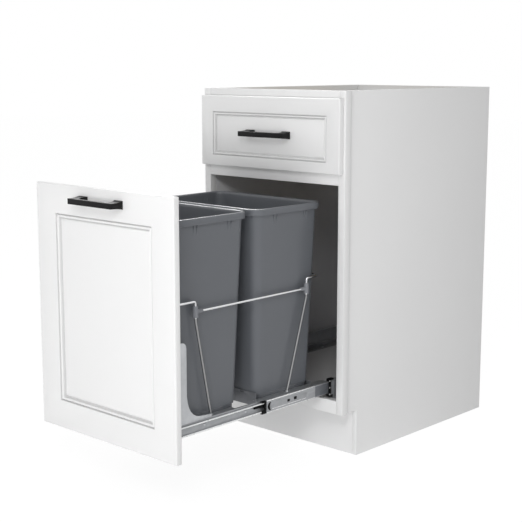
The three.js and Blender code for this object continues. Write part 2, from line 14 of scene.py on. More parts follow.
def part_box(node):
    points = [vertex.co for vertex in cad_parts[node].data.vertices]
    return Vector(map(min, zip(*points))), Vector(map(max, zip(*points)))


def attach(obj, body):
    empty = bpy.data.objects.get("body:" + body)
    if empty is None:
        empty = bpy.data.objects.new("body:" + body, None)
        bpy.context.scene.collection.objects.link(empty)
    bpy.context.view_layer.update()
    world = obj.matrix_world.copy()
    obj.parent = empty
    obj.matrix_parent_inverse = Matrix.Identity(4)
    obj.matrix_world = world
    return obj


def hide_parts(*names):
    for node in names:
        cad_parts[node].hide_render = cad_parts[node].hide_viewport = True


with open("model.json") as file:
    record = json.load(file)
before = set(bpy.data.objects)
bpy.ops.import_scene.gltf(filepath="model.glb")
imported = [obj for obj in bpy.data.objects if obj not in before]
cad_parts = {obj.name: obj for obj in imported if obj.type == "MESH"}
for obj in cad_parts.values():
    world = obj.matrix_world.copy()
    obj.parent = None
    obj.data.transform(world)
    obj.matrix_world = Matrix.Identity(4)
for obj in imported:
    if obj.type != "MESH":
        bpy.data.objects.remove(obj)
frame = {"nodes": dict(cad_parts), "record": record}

bl_info = {
    "name": "Pull-out Waste Bin Cabinet",
    "version": (1, 0, 0),
    "blender": (4, 5, 0),
    "location": "View3D > Sidebar > Cabinet",
    "description": "Finishes a drawer cabinet whose door rolls out with two waste bins",
    "category": "Object",
}

MM = 0.001
# Two places closer than this, in metres, are one, and faces that meet at more than this angle,
# in radians, meet at an edge.
NEAR = 1e-5
SHARP = 1.0
FRAME_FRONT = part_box("stile_left")[0].y
PIECE_SLOTS = {part["node"]: part["material_slot"] for part in frame["record"]["subparts"]}
PIECE_BODIES = {
    node: body for body, nodes in frame["record"]["behaviour"]["bodies"].items() for node in nodes}
SIDES = {"right": 1, "left": -1}


def at(x, y, z):
    return Vector((x * MM, FRAME_FRONT + y * MM, z * MM))


# ---------------------------------------------------------------- settings

def linear(code):
    """The linear value of an sRGB hex colour such as "#f2f2f1"."""
    values = [int(code[place:place + 2], 16) / 255 for place in (1, 3, 5)]
    return [v / 12.92 if v <= 0.04045 else ((v + 0.055) / 1.055) ** 2.4 for v in values]


def length(name, description, millimetres):
    return bpy.props.FloatProperty(
        name=name, description=description, default=millimetres * MM, min=0.0, unit="LENGTH",
        precision=5)


def colour(name, description, code):
    return bpy.props.FloatVectorProperty(
        name=name, description=description, default=linear(code), min=0.0, max=1.0, subtype="COLOR")


class CabinetSizes(bpy.types.PropertyGroup):
    front_edge_round: length("Front Edge Round", "Radius of the fronts' sprayed arrises", 2.6)
    board_edge_round: length("Board Edge Round", "Radius left by the edge banding on boards", 0.5)
    frame_edge_round: length("Frame Edge Round", "Sanded arris of the face frame's members", 0.7)
    handle_edge_round: length("Handle Edge Round", "Cast radius along the handles' edges", 0.9)
    sheet_edge_round: length("Sheet Edge Round", "Break along the edges of folded sheet steel", 0.3)
    nylon_edge_round: length("Nylon Edge Round", "Moulded radius on nylon pieces", 0.5)
    ply_edge_round: length("Plywood Edge Round", "Routed radius along the drawer box's edges", 1.2)
    bottom_edge_round: length("Bottom Edge Round", "Break along the drawer bottom's edges", 0.4)
    wire_radius: length("Wire Radius", "Half the thickness of the hoops' and rods' wire", 2.75)
    screw_head_radius: length("Screw Head Radius", "Half the width of a truss head", 3.6)
    screw_edge_round: length("Screw Edge Round", "Radius along the handle screws' edges", 0.5)


class CabinetColours(bpy.types.PropertyGroup):
    front: colour("Fronts", "Sprayed lacquer on the door and the drawer front", "#ededed")
    frame: colour("Face Frame", "Sprayed lacquer on the hardwood face frame", "#eeeeee")
    side: colour("Sides", "White laminate on the outside of the carcass", "#efefef")
    # Painted shade: this grey inside the compartment, below the drawer, stands in for the shade
    # there; the boards are white.
    interior_shade: colour("Painted Interior Shade", "Grey laminate inside the compartment", "#d0d0d2")
    ply: colour("Drawer Plywood", "Birch plywood under clear lacquer", "#dcc9a3")
    handle: colour("Handles", "Matt black powder coat", "#0e0e0f")
    zinc: colour("Zinc Plate", "Bright zinc-plated sheet steel", "#d2d4d7")
    # Painted shade: this darker zinc on the slides' webs and the base rails stands in for the shade
    # on them.
    member: colour("Slide Sheet", "Duller zinc on the slides' members", "#b0b2b5")
    # Painted shade: this grey zinc stands in for the shade that the bins cast on the cross rails.
    cross: colour("Cross Rails", "Greyed zinc on the cross rails", "#7e8084")
    # Painted highlight: this near-white zinc on the lips stands in for the bright lines that light
    # draws along them.
    rolled: colour("Painted Highlight Lips", "Zinc burnished bright where the sheet is rolled", "#fafbfb")
    chrome: colour("Chrome Wire", "Chromium plate on steel wire", "#eeeff0")
    clip: colour("Clips", "Grey moulded nylon", "#84868b")
    black_nylon: colour("Black Nylon", "Black moulded nylon", "#0c0c0d")
    bin: colour("Bins", "Bluish grey polypropylene", "#6a6d72")


def sizes():
    return bpy.context.scene.cabinet_sizes


def colours():
    return bpy.context.scene.cabinet_colours


# ---------------------------------------------------------------- modelling helpers

def deselect_everything():
    if bpy.context.object and bpy.context.object.mode != "OBJECT":
        bpy.ops.object.mode_set(mode="OBJECT")
    bpy.ops.object.select_all(action="DESELECT")


def hold(piece):
    """Selects this piece alone and makes it the active one."""
    deselect_everything()
    piece.select_set(True)
    bpy.context.view_layer.objects.active = piece


def edit(piece):
    hold(piece)
    bpy.ops.object.mode_set(mode="EDIT")
    bpy.ops.mesh.select_all(action="DESELECT")


def leave():
    bpy.ops.object.mode_set(mode="OBJECT")


def pick(kind, wanted):
    """In edit mode, selects the corners, edges or faces for which wanted(element) is true."""
    piece = bpy.context.object
    bpy.ops.mesh.select_mode(type=kind)
    bpy.ops.mesh.select_all(action="DESELECT")
    mesh = bmesh.from_edit_mesh(piece.data)
    elements = {"VERT": mesh.verts, "EDGE": mesh.edges, "FACE": mesh.faces}[kind]
    chosen = [one for one in elements if wanted(one)]
    if not chosen:
        raise RuntimeError(f"nothing was picked on {piece.name}")
    for one in chosen:
        one.select_set(True)
    mesh.select_flush_mode()
    bmesh.update_edit_mesh(piece.data)


def facing(direction, slack=0.99):
    return lambda face: face.normal.dot(Vector(direction)) > slack


def along(axis):
    """Edges that run along one axis."""
    def runs(edge):
        span = edge.verts[1].co - edge.verts[0].co
        return abs(span[axis]) > 0.999 * span.length
    return runs


def use_modifier(piece, kind, **settings):
    hold(piece)
    modifier = piece.modifiers.new(kind.title(), kind)
    for name, value in settings.items():
        setattr(modifier, name, value)
    bpy.ops.object.modifier_apply(modifier=modifier.name)


def round_edges(piece, radius, segments=2, angle=40):
    use_modifier(
        piece, "BEVEL", width=radius, segments=segments, limit_method="ANGLE",
        angle_limit=math.radians(angle), use_clamp_overlap=True, harden_normals=False)


def smooth(piece, angle=35):
    hold(piece)
    bpy.ops.object.shade_smooth_by_angle(angle=math.radians(angle))


def tidy_normals(piece):
    edit(piece)
    bpy.ops.mesh.select_all(action="SELECT")
    bpy.ops.mesh.remove_doubles(threshold=0.01 * MM)
    bpy.ops.mesh.normals_make_consistent(inside=False)
    leave()


def set_down(piece):
    """Moves the object's place into its mesh."""
    hold(piece)
    bpy.ops.object.transform_apply(location=True, rotation=True, scale=True)
    return piece


def block(name, low, high):
    """A cube shaped to the box between two corners, to be worked on further."""
    deselect_everything()
    bpy.ops.mesh.primitive_cube_add(size=1, location=(low + high) / 2, scale=high - low)
    piece = bpy.context.object
    piece.name = name
    return set_down(piece)


def turned(name, start, end, radius, end_radius=None, sides=32):
    """A cylinder or cone between two points, to be worked on further."""
    deselect_everything()
    span = end - start
    bpy.ops.mesh.primitive_cone_add(
        vertices=sides, radius1=radius, radius2=radius if end_radius is None else end_radius,
        depth=span.length, location=(start + end) / 2,
        rotation=span.to_track_quat("Z", "Y").to_euler())
    piece = bpy.context.object
    piece.name = name
    return set_down(piece)


def combine(piece, other, operation="UNION"):
    use_modifier(piece, "BOOLEAN", operation=operation, object=other, solver="EXACT")
    bpy.data.objects.remove(other)
    return piece


def join(name, pieces):
    deselect_everything()
    for piece in pieces:
        piece.select_set(True)
    bpy.context.view_layer.objects.active = pieces[0]
    bpy.ops.object.join()
    pieces[0].name = name
    return pieces[0]


def copied(piece, name, matrix):
    """A copy with its own mesh, moved by the matrix."""
    twin = bpy.data.objects.new(name, piece.data.copy())
    bpy.context.scene.collection.objects.link(twin)
    twin.data.transform(matrix)
    if matrix.determinant() < 0:
        twin.data.flip_normals()
    return twin


def across(piece, name):
    """The same piece for the other side of the cabinet."""
    return copied(piece, name, Matrix.Scale(-1, 4, Vector((1, 0, 0))))


def hand_over(piece, slot, body, material, *nodes):
    """Gives a piece its material, its body and the nodes that it stands for. The slot is not used.
    """
    piece.data.materials.clear()
    piece.data.materials.append(finish(material))
    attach(piece, body)
    if nodes:
        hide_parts(*nodes)
    return piece


def hand_over_pair(piece, slot, body, material, node=None):
    """Hands over a right-hand piece and its copy for the left, for a pair of nodes if any."""
    other = across(piece, piece.name.replace("right", "left"))
    for side, one in zip(SIDES, (piece, other)):
        hand_over(one, slot, body, material, *([f"{node}_{side}"] if node else []))


def merged_copy(node, name):
    """A node's shape with its loose triangles merged into clean faces."""
    piece = bpy.data.objects.new(name, frame["nodes"][node].data.copy())
    bpy.context.scene.collection.objects.link(piece)
    piece.data.materials.clear()
    hold(piece)
    bpy.ops.mesh.customdata_custom_splitnormals_clear()
    edit(piece)
    bpy.ops.mesh.select_all(action="SELECT")
    bpy.ops.mesh.remove_doubles(threshold=0.005 * MM)
    bpy.ops.mesh.dissolve_limited(angle_limit=math.radians(0.5))
    leave()
    return piece


def dressed(node, radius, material, segments=2, worked=None):
    """Replaces a node by its merged copy, which is worked on further and has rounded edges."""
    piece = merged_copy(node, f"{node}_finished")
    if worked:
        worked(piece)
    round_edges(piece, radius, segments)
    smooth(piece)
    return hand_over(piece, PIECE_SLOTS[node], PIECE_BODIES[node], material, node)


def pair(node):
    return [f"{node}_{side}" for side in SIDES]


# ---------------------------------------------------------------- materials

# Where nearly all of a noise pattern's values lie.
NOISE_SPAN = (0.3, 0.7)
MIX_COLOURS = {"data_type": "RGBA"}


def feed(tree, socket, value):
    """Gives a socket its value, or links it to a socket or to a node's first live output."""
    if isinstance(value, bpy.types.Node):
        value = next(output for output in value.outputs if output.enabled)
    if isinstance(value, bpy.types.NodeSocket):
        tree.links.new(value, socket)
    else:
        socket.default_value = value


def add_node(tree, kind, settings=None, **inputs):
    """Adds a shader node. An input goes by its name, or by its number as in i0."""
    node = tree.nodes.new(f"ShaderNode{kind}")
    for name, value in (settings or {}).items():
        setattr(node, name, value)
    for name, value in inputs.items():
        numbered = name[0] == "i" and name[1:].isdigit()
        feed(tree, node.inputs[int(name[1:]) if numbered else name.replace("_", " ")], value)
    return node


def per_metre(millimetres):
    """A noise or wave scale whose features are this many millimetres wide."""
    return 1000 / millimetres


def rgba(value, factor=1.0):
    return (*[min(channel * factor, 1.0) for channel in value], 1.0)


def shades(base, factor, start=1.0):
    """The two ends of a colour mix, from the base times the start to the base times a factor."""
    return {"i6": rgba(base, start), "i7": rgba(base, factor)}


class Surface:
    """A material's tree with its Principled shader and its Object coordinates."""

    def __init__(self, name, base, roughness, **shader_inputs):
        self.material = bpy.data.materials.new(name)
        self.material.use_nodes = True
        self.material.diffuse_color = rgba(base)
        self.tree = self.material.node_tree
        self.tree.nodes.clear()
        self.base = base
        self.shader = self.node(
            "BsdfPrincipled", Base_Color=rgba(base), Roughness=roughness, **shader_inputs)
        self.node("OutputMaterial", Surface=self.shader)
        self.place = self.node("TexCoord").outputs["Object"]

    def node(self, kind, settings=None, **inputs):
        return add_node(self.tree, kind, settings, **inputs)

    def pattern(self, millimetres, stretch=(1, 1, 1), detail=2.0, roughness=0.5):
        """Clouds or grains this wide, drawn out along an axis where stretch is below 1."""
        space = self.node("Mapping", Vector=self.place, Scale=stretch)
        return self.node("TexNoise", Vector=space, Scale=per_metre(millimetres), Detail=detail,
                         Roughness=roughness)

    def coated(self, shade, rough, relief):
        """The material, with its colour, its roughness and its relief varied. The roughness is
        a pattern, its lowest and its highest; the relief a pattern, its depth and strength."""
        pattern, lowest, highest = rough
        roughness = self.node("MapRange", Value=pattern, From_Min=NOISE_SPAN[0],
                              From_Max=NOISE_SPAN[1], To_Min=lowest, To_Max=highest)
        pattern, depth, strength = relief
        normal = self.node("Bump", Height=pattern, Distance=depth * MM, Strength=strength)
        for name, value in (("Base Color", shade), ("Roughness", roughness), ("Normal", normal)):
            feed(self.tree, self.shader.inputs[name], value)
        return self.material


# The mouldings' openings, and the places of the quirk and the groove in them, which carry
# painted shade: (middle of the line, half its width), inwards from the opening's edge.
DOOR_OPENING = (-158.2, 158.2, 190.2, 615.4)
DRAWER_OPENING = (-185, 185, 711.4, 820.4)
GROOVE_SHADE_LINES = (
    ("door_front", DOOR_OPENING, ((1.9, 1.4), (10.4, 1.9))),
    ("drawer_front", DRAWER_OPENING, ((1.7, 1.2), (8.7, 1.5))),
)
# How far within and beyond a line's half width its shade fades out.
GROOVE_SHADE_FADE = (0.4, 0.2)
# No moulding goes deeper into a front than this.
MOULDING_REACH = 11


def groove_shade_share(surface, spot, node, opening, lines):
    """How much of a spot lies in a moulding's quirk or groove, the painted shade's place, from 0 to
    1.
    """
    left, right, bottom, top = [value * MM for value in opening]
    insets = []
    for axis, low, high in (("X", left, right), ("Z", bottom, top)):
        off = surface.node("Math", {"operation": "SUBTRACT"}, i0=spot[axis], i1=(low + high) / 2)
        away = surface.node("Math", {"operation": "ABSOLUTE"}, i0=off)
        insets.append(surface.node(
            "Math", {"operation": "SUBTRACT"}, i0=(high - low) / 2, i1=away))
    inset = surface.node("Math", {"operation": "MINIMUM"}, i0=insets[0], i1=insets[1])
    shares = []
    for middle, half_width in lines:
        off = surface.node("Math", {"operation": "SUBTRACT"}, i0=inset, i1=middle * MM)
        away = surface.node("Math", {"operation": "ABSOLUTE"}, i0=off)
        shares.append(surface.node(
            "MapRange", Value=away, From_Min=(half_width - GROOVE_SHADE_FADE[0]) * MM,
            From_Max=(half_width + GROOVE_SHADE_FADE[1]) * MM, To_Min=1.0, To_Max=0.0))
    either = surface.node("Math", {"operation": "MAXIMUM"}, i0=shares[0], i1=shares[1])
    near_face = surface.node("Math", {"operation": "LESS_THAN"}, i0=spot["Y"],
                             i1=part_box(node)[0].y + MOULDING_REACH * MM)
    return surface.node("Math", {"operation": "MULTIPLY"}, i0=either, i1=near_face)


def sprayed_fibreboard():
    """Satin lacquer sprayed on medium-density fibreboard: a flat white with the faint dimpling of
    a sprayed coat, about 3 mm from crest to crest, and a soft wide highlight. The mouldings'
    quirks and grooves are darkened with painted shade, for the shade in those recesses."""
    surface = Surface("Sprayed satin lacquer on fibreboard", colours().front, 0.42, IOR=1.5)
    dimples = surface.pattern(3.0, detail=1.0)
    shade = surface.node("Mix", MIX_COLOURS, i0=surface.pattern(160, detail=1.0),
                         **shades(surface.base, 0.985))
    spot = surface.node("SeparateXYZ", Vector=surface.place).outputs
    for node, opening, lines in GROOVE_SHADE_LINES:
        share = groove_shade_share(surface, spot, node, opening, lines)
        # Painted shade: the quirks and grooves darken to 0.78 of the lacquer.
        shade = surface.node("Mix", MIX_COLOURS, i0=share, i6=shade, i7=rgba(surface.base, 0.78))
    return surface.coated(shade, (surface.pattern(40), 0.38, 0.46), (dimples, 0.02, 0.6))


def sprayed_hardwood():
    """The same lacquer on maple: the closed grain telegraphs through as long shallow lines.
    Real pores are 0.1 mm wide; they are drawn 1 mm wide so that they show at all."""
    surface = Surface("Sprayed satin lacquer on maple", colours().frame, 0.42, IOR=1.5)
    grain = surface.pattern(1.0, stretch=(1, 1, 0.03), detail=3.0)
    shade = surface.node("Mix", MIX_COLOURS, i0=surface.pattern(90), **shades(surface.base, 0.98))
    return surface.coated(shade, (grain, 0.39, 0.47), (grain, 0.012, 0.5))


# The painted interior shade's reach from the middle, its back, and its lowest and highest height.
INTERIOR_SHADE_REACH = 209.4
INTERIOR_SHADE_BACK = 597.2
INTERIOR_SHADE_HEIGHTS = (129.6, 698)


def white_laminate():
    """White melamine pressed on particle board. The press plate leaves a fine pebble about
    0.9 mm across. Inside the compartment, below the drawer, the board is greyed as painted shade."""
    surface = Surface("White melamine with a grey inner face", colours().side, 0.5, IOR=1.5)
    pebble = surface.pattern(0.9)
    outer = surface.node("Mix", MIX_COLOURS, i0=surface.pattern(220),
                         **shades(surface.base, 0.975))
    # Painted shade: the compartment's inside below the drawer takes this grey for the shade that
    # lies there.
    interior_shade = surface.node("Mix", MIX_COLOURS, i0=surface.pattern(120),
                          **shades(colours().interior_shade, 0.93))
    spot = surface.node("SeparateXYZ", Vector=surface.place).outputs
    reach = surface.node("Math", {"operation": "ABSOLUTE"}, i0=spot["X"])
    within = 1.0
    for value, limit, side in (
            (reach, INTERIOR_SHADE_REACH * MM, "LESS_THAN"),
            (spot["Y"], FRAME_FRONT + INTERIOR_SHADE_BACK * MM, "LESS_THAN"),
            (spot["Z"], INTERIOR_SHADE_HEIGHTS[0] * MM, "GREATER_THAN"),
            (spot["Z"], INTERIOR_SHADE_HEIGHTS[1] * MM, "LESS_THAN")):
        test = surface.node("Math", {"operation": side}, i0=value, i1=limit)
        within = surface.node("Math", {"operation": "MULTIPLY"}, i0=within, i1=test)
    shade = surface.node("Mix", MIX_COLOURS, i0=within, i6=outer, i7=interior_shade)
    return surface.coated(shade, (pebble, 0.45, 0.55), (pebble, 0.03, 0.6))


RING_WIDTH = 9
VENEER = 1.4
PLY_TOP = 814.6
# A wave's scale counts radians.
FULL_TURN = 6.283


def birch_plywood():
    """Birch plywood under clear lacquer: cathedral grain some 9 mm between growth rings, and
    1.4 mm veneers that show as alternate light and dark lines along the top edges."""
    surface = Surface("Birch plywood under clear lacquer", colours().ply, 0.4, IOR=1.5)
    wander = surface.pattern(60, stretch=(1, 0.15, 1), detail=3.0)
    rings = surface.node(
        "TexWave", {"wave_type": "BANDS", "bands_direction": "Z"}, Vector=surface.place,
        Scale=per_metre(RING_WIDTH) / FULL_TURN, Distortion=5.0, Detail=2.0)
    grain = surface.node("Math", {"operation": "MULTIPLY"}, i0=rings.outputs["Fac"], i1=wander)
    face = surface.node("Mix", MIX_COLOURS, i0=grain, **shades(surface.base, 0.78))
    spot = surface.node("SeparateXYZ", Vector=surface.place).outputs
    both_ways = surface.node("Math", {"operation": "ADD"}, i0=spot["X"], i1=spot["Y"])
    layer = surface.node("Math", {"operation": "PINGPONG"}, i0=both_ways, i1=VENEER * MM)
    share = surface.node("MapRange", Value=layer, From_Min=0.0, From_Max=VENEER * MM)
    edge = surface.node("Mix", MIX_COLOURS, i0=share, **shades(surface.base, 0.6))
    top = surface.node("Math", {"operation": "GREATER_THAN"}, i0=spot["Z"], i1=PLY_TOP * MM)
    shade = surface.node("Mix", MIX_COLOURS, i0=top, i6=face, i7=edge)
    return surface.coated(shade, (wander, 0.34, 0.46), (grain, 0.03, 0.5))


def powder_coat():
    """Matt black polyester powder on a zinc casting: a sandy texture of 0.5 mm grains, with a
    touch more sheen where the coat has flowed together."""
    surface = Surface("Matt black powder coat", colours().handle, 0.5, IOR=1.3)
    grains = surface.pattern(0.6)
    shade = surface.node("Mix", MIX_COLOURS, i0=surface.pattern(14), **shades(surface.base, 1.35))
    return surface.coated(shade, (grains, 0.44, 0.58), (grains, 0.05, 0.7))


def zinc_plated(name, base, lowest, highest, metallic=0.72):
    """Zinc on cold-rolled steel: faint lines drawn along the run, cloudy patches where the
    passivation took unevenly, and a satin mirror under the milky passivation."""
    surface = Surface(name, base, (lowest + highest) / 2, Metallic=metallic)
    drawn = surface.pattern(0.8, stretch=(1, 0.02, 1), detail=3.0)
    clouds = surface.pattern(18, detail=4.0, roughness=0.6)
    patches = surface.node("MapRange", Value=clouds, From_Min=0.35, From_Max=0.65)
    shade = surface.node("Mix", MIX_COLOURS, i0=patches, **shades(base, 0.93))
    return surface.coated(shade, (clouds, lowest, highest), (drawn, 0.01, 0.35))


def zinc_plate():
    return zinc_plated("Bright zinc-plated steel", colours().zinc, 0.3, 0.42)


def painted_shade_member_zinc():
    """Painted shade: a darker zinc on the slides' members and the base rails, for the shade on
    their webs.
    """
    return zinc_plated("Zinc with painted shade", colours().member, 0.36, 0.48)


def painted_highlight_zinc():
    """Painted highlight: a near-white zinc for the lips, so that they carry bright lines along the
    members.
    """
    return zinc_plated("Zinc with painted highlight", colours().rolled, 0.24, 0.34, 0.35)


def painted_shade_cross_zinc():
    """Painted shade: the cross rails lie between the bins, in their shade, and take a darker zinc.
    """
    return zinc_plated("Greyed zinc-plated steel", colours().cross, 0.42, 0.54, 0.4)


# Below this height the hoops' colour is greyed as a painted reflection of the dark bins, over a
# short fade.
LEG_SHADE_TOP = 412
LEG_SHADE_FADE = 4


def chrome_wire():
    """Chromium plate over drawn wire: a near mirror with the drawing die's faint waviness. On the
    legs, below the clips, the colour is greyed as a painted reflection of the dark bins beside
    them."""
    surface = Surface("Chromium plated wire", colours().chrome, 0.12, Metallic=1.0)
    waves = surface.pattern(7, detail=1.0)
    bright = surface.node("Mix", MIX_COLOURS, i0=waves, **shades(surface.base, 0.92))
    # Painted reflection: the legs' grey stands in for the dark bins that they reflect.
    grey = surface.node("Mix", MIX_COLOURS, i0=waves, **shades(surface.base, 0.42, start=0.5))
    height = surface.node("SeparateXYZ", Vector=surface.place).outputs["Z"]
    above = surface.node("MapRange", Value=height, From_Min=(LEG_SHADE_TOP - LEG_SHADE_FADE) * MM,
                         From_Max=LEG_SHADE_TOP * MM)
    shade = surface.node("Mix", MIX_COLOURS, i0=above, i6=grey, i7=bright)
    return surface.coated(shade, (waves, 0.09, 0.18), (waves, 0.02, 0.3))


def moulded(name, base, roughness, pebble_mm, depth_mm, ior=1.49):
    """A moulded plastic: a fine spark-eroded pebble and slight cloudiness from the mould."""
    surface = Surface(name, base, roughness, IOR=ior)
    pebble = surface.pattern(pebble_mm)
    shade = surface.node("Mix", MIX_COLOURS, i0=surface.pattern(70), **shades(base, 0.94))
    return surface.coated(
        shade, (pebble, roughness - 0.05, roughness + 0.07), (pebble, depth_mm, 0.6))


def grey_nylon():
    return moulded("Grey moulded nylon", colours().clip, 0.5, 0.7, 0.03)


def black_nylon():
    return moulded("Black moulded nylon", colours().black_nylon, 0.42, 0.7, 0.03, 1.2)


def polypropylene():
    """Injection moulded polypropylene, slightly waxy, so its rims catch a soft bright line."""
    return moulded("Grey moulded polypropylene", colours().bin, 0.32, 0.9, 0.02)


# rolled is zinc with a painted highlight; member and cross are zinc with painted shade.
FINISHES = {
    "front": sprayed_fibreboard,
    "frame": sprayed_hardwood,
    "board": white_laminate,
    "ply": birch_plywood,
    "handle": powder_coat,
    "zinc": zinc_plate,
    "member": painted_shade_member_zinc,
    "rolled": painted_highlight_zinc,
    "cross": painted_shade_cross_zinc,
    "chrome": chrome_wire,
    "clip": grey_nylon,
    "black_nylon": black_nylon,
    "bin": polypropylene,
}
MADE_FINISHES = {}


def finish(name):
    maker = FINISHES[name]
    if maker not in MADE_FINISHES:
        MADE_FINISHES[maker] = maker()
    return MADE_FINISHES[maker]


# ---------------------------------------------------------------- door and drawer fronts

def arc(centre, radius, start, end, steps):
    angles = [math.radians(start + (end - start) * step / steps) for step in range(steps + 1)]
    return [(centre[0] + radius * math.cos(a), centre[1] - radius * math.sin(a)) for a in angles]


# Each step of a moulding is (inset from its outer edge, depth below the face), in mm: a
# quirk, a bead, a groove and the rise to the panel.
DOOR_MOULDING = (
    [(0.4, 0.1), (0.8, 0.7), (1.0, 5.4), (1.4, 6.0), (3.0, 6.0), (3.3, 5.6)]
    + arc((6.0, 3.4), 2.6, 175, 5, 8)
    + [(8.9, 8.2), (9.4, 9.0), (11.4, 9.2), (12.2, 8.6), (13.2, 7.2), (15.0, 6.1), (18.2, 5.6)]
)
DRAWER_MOULDING = (
    [(0.3, 0.1), (0.7, 0.6), (0.9, 4.8), (1.2, 5.3), (2.6, 5.3), (2.9, 5.0)]
    + arc((5.1, 2.6), 2.1, 175, 5, 8)
    + [(7.5, 7.0), (7.9, 7.6), (9.6, 7.8), (10.4, 7.2), (11.4, 5.4), (12.8, 4.4)]
)


FIRST_INSET = 40


def moulded_front(node, opening, moulding):
    """A slab with a moulding sunk in its face round a flat panel."""
    low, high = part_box(node)
    piece = block(f"{node}_finished", low, high)
    edit(piece)
    pick("FACE", facing((0, -1, 0)))
    bpy.ops.mesh.inset(thickness=FIRST_INSET * MM, depth=0)
    left, right, bottom, top = [value * MM for value in opening]
    inner = (low + high) / 2
    taken = 2 * FIRST_INSET * MM
    bpy.ops.transform.resize(
        value=((right - left) / (high.x - low.x - taken), 1,
               (top - bottom) / (high.z - low.z - taken)),
        center_override=(inner.x, low.y, inner.z))
    bpy.ops.transform.translate(
        value=((left + right) / 2 - inner.x, 0, (bottom + top) / 2 - inner.z))
    inset, depth = 0.0, 0.0
    for next_inset, next_depth in moulding:
        bpy.ops.mesh.inset(
            thickness=(next_inset - inset) * MM, depth=(depth - next_depth) * MM,
            use_even_offset=True)
        inset, depth = next_inset, next_depth

    def outer_edge(edge):
        on_side = [min(abs(v.co[axis] - corner[axis]) for axis in (0, 2) for corner in (low, high))
                   < NEAR for v in edge.verts]
        return all(on_side) and edge.calc_face_angle(0) > SHARP

    pick("EDGE", outer_edge)
    bpy.ops.mesh.bevel(offset=sizes().front_edge_round, segments=4, affect="EDGES")
    leave()
    smooth(piece, 40)
    return hand_over(piece, PIECE_SLOTS[node], PIECE_BODIES[node], "front", node)


class CABINET_OT_fronts(bpy.types.Operator):
    """Make the door and the drawer front, each a sprayed slab with a routed moulding"""
    bl_idname = "cabinet.fronts"
    bl_label = "Door and Drawer Front"

    def execute(self, context):
        moulded_front("door_front", DOOR_OPENING, DOOR_MOULDING)
        moulded_front("drawer_front", DRAWER_OPENING, DRAWER_MOULDING)
        return {"FINISHED"}


class CABINET_OT_handles(bpy.types.Operator):
    """Round the edges of the two bridge handles"""
    bl_idname = "cabinet.handles"
    bl_label = "Handles"

    def execute(self, context):
        for node in ("door_handle", "drawer_handle"):
            dressed(node, sizes().handle_edge_round, "handle", segments=3)
        return {"FINISHED"}


# ---------------------------------------------------------------- carcass and face frame

class CABINET_OT_face_frame(bpy.types.Operator):
    """Give the face frame's members their sanded arrises, so that the joints show as lines"""
    bl_idname = "cabinet.face_frame"
    bl_label = "Face Frame"

    def execute(self, context):
        for node in ("stile_left", "stile_right", "rail_bottom", "rail_middle", "rail_top"):
            dressed(node, sizes().frame_edge_round, "frame")
        return {"FINISHED"}


class CABINET_OT_carcass(bpy.types.Operator):
    """Give the carcass boards their banded edges and their laminate"""
    bl_idname = "cabinet.carcass"
    bl_label = "Carcass"

    def execute(self, context):
        radius = sizes().board_edge_round
        plain = ["toe_kick_board", "back_panel", "floor_panel", "back_rail"]
        for node in pair("side_panel") + plain + pair("corner_brace"):
            dressed(node, radius, "board")
        return {"FINISHED"}


class CABINET_OT_drawer_box(bpy.types.Operator):
    """Round the plywood edges of the drawer box"""
    bl_idname = "cabinet.drawer_box"
    bl_label = "Drawer Box"

    def execute(self, context):
        for node in pair("drawer_side") + ["drawer_box_front", "drawer_box_back"]:
            dressed(node, sizes().ply_edge_round, "ply", segments=3)
        dressed("drawer_bottom", sizes().bottom_edge_round, "ply")
        return {"FINISHED"}


# ---------------------------------------------------------------- bins

BIN_FLOOR = 172
FIRST_RING = 172.3
FIRST_DISTANCE = -9.2
LIP_UNDERSIDE = 606.4
# Half the width, half the depth and the corner radius of the wall, low and under the lip.
BIN_LOW = (147.5, 92.4, 20)
BIN_TOP = (163.7, 106.9, 23.5)

# The shell's profile, up the outside and down the inside: (height, distance outside the wall).
BIN_PROFILE = (
    (172.6, -7.2), (173.6, -5.4), (175.2, -4.1), (178, -3.3), (182, -3), (190.4, -3), (191.6, -2.6),
    (192.8, -0.6), (193.8, -0.1), (195, 0), (604.8, 0), (606.0, 0.4), (606.4, 1.3), (606.4, 6.0),
    (606.9, 7.1), (608.0, 7.5), (617.6, 7.5), (619.4, 7.2), (620.9, 6.3), (621.7, 5.0),
    (622.0, 3.6), (621.9, 1.8), (621.3, 0.2), (620.2, -1.0), (618.4, -1.8), (615.0, -2.2),
    (604.0, -2.2), (195, -2.2), (193.2, -2.9), (191.4, -5.0), (189.6, -5.2), (181, -5.4),
    (177.6, -6.6), (175.4, -9.2), (174.3, -13),
)


def bin_outline(height, distance):
    """Half width, half depth and corner radius at a height, grown by a distance."""
    share = (min(height, LIP_UNDERSIDE) - BIN_FLOOR) / (LIP_UNDERSIDE - BIN_FLOOR)
    return [low + share * (top - low) + distance for low, top in zip(BIN_LOW, BIN_TOP)]


def draw_ring(piece, centre, outline, next_outline, rise):
    """Draws the selected cap up by the rise and reshapes it into the next outline: its corner
    arcs are scaled about the middle, then its halves are moved apart."""
    bpy.ops.mesh.extrude_region_move(TRANSFORM_OT_translate={"value": (0, 0, rise * MM)})
    mesh = bmesh.from_edit_mesh(piece.data)
    mesh.verts.index_update()
    cap = {v.index for v in mesh.verts if v.select}
    growth = next_outline[2] / outline[2]
    bpy.ops.transform.resize(value=(growth, growth, 1), center_override=centre)
    for axis in (0, 1):
        straight = outline[axis] - outline[2]
        shift = next_outline[axis] - next_outline[2] - straight * growth
        for sign in (1, -1):
            pick("VERT", lambda v: v.index in cap and sign * (v.co[axis] - centre[axis]) > 0)
            way = [0, 0, 0]
            way[axis] = sign * shift * MM
            bpy.ops.transform.translate(value=way)
    pick("VERT", lambda v: v.index in cap)


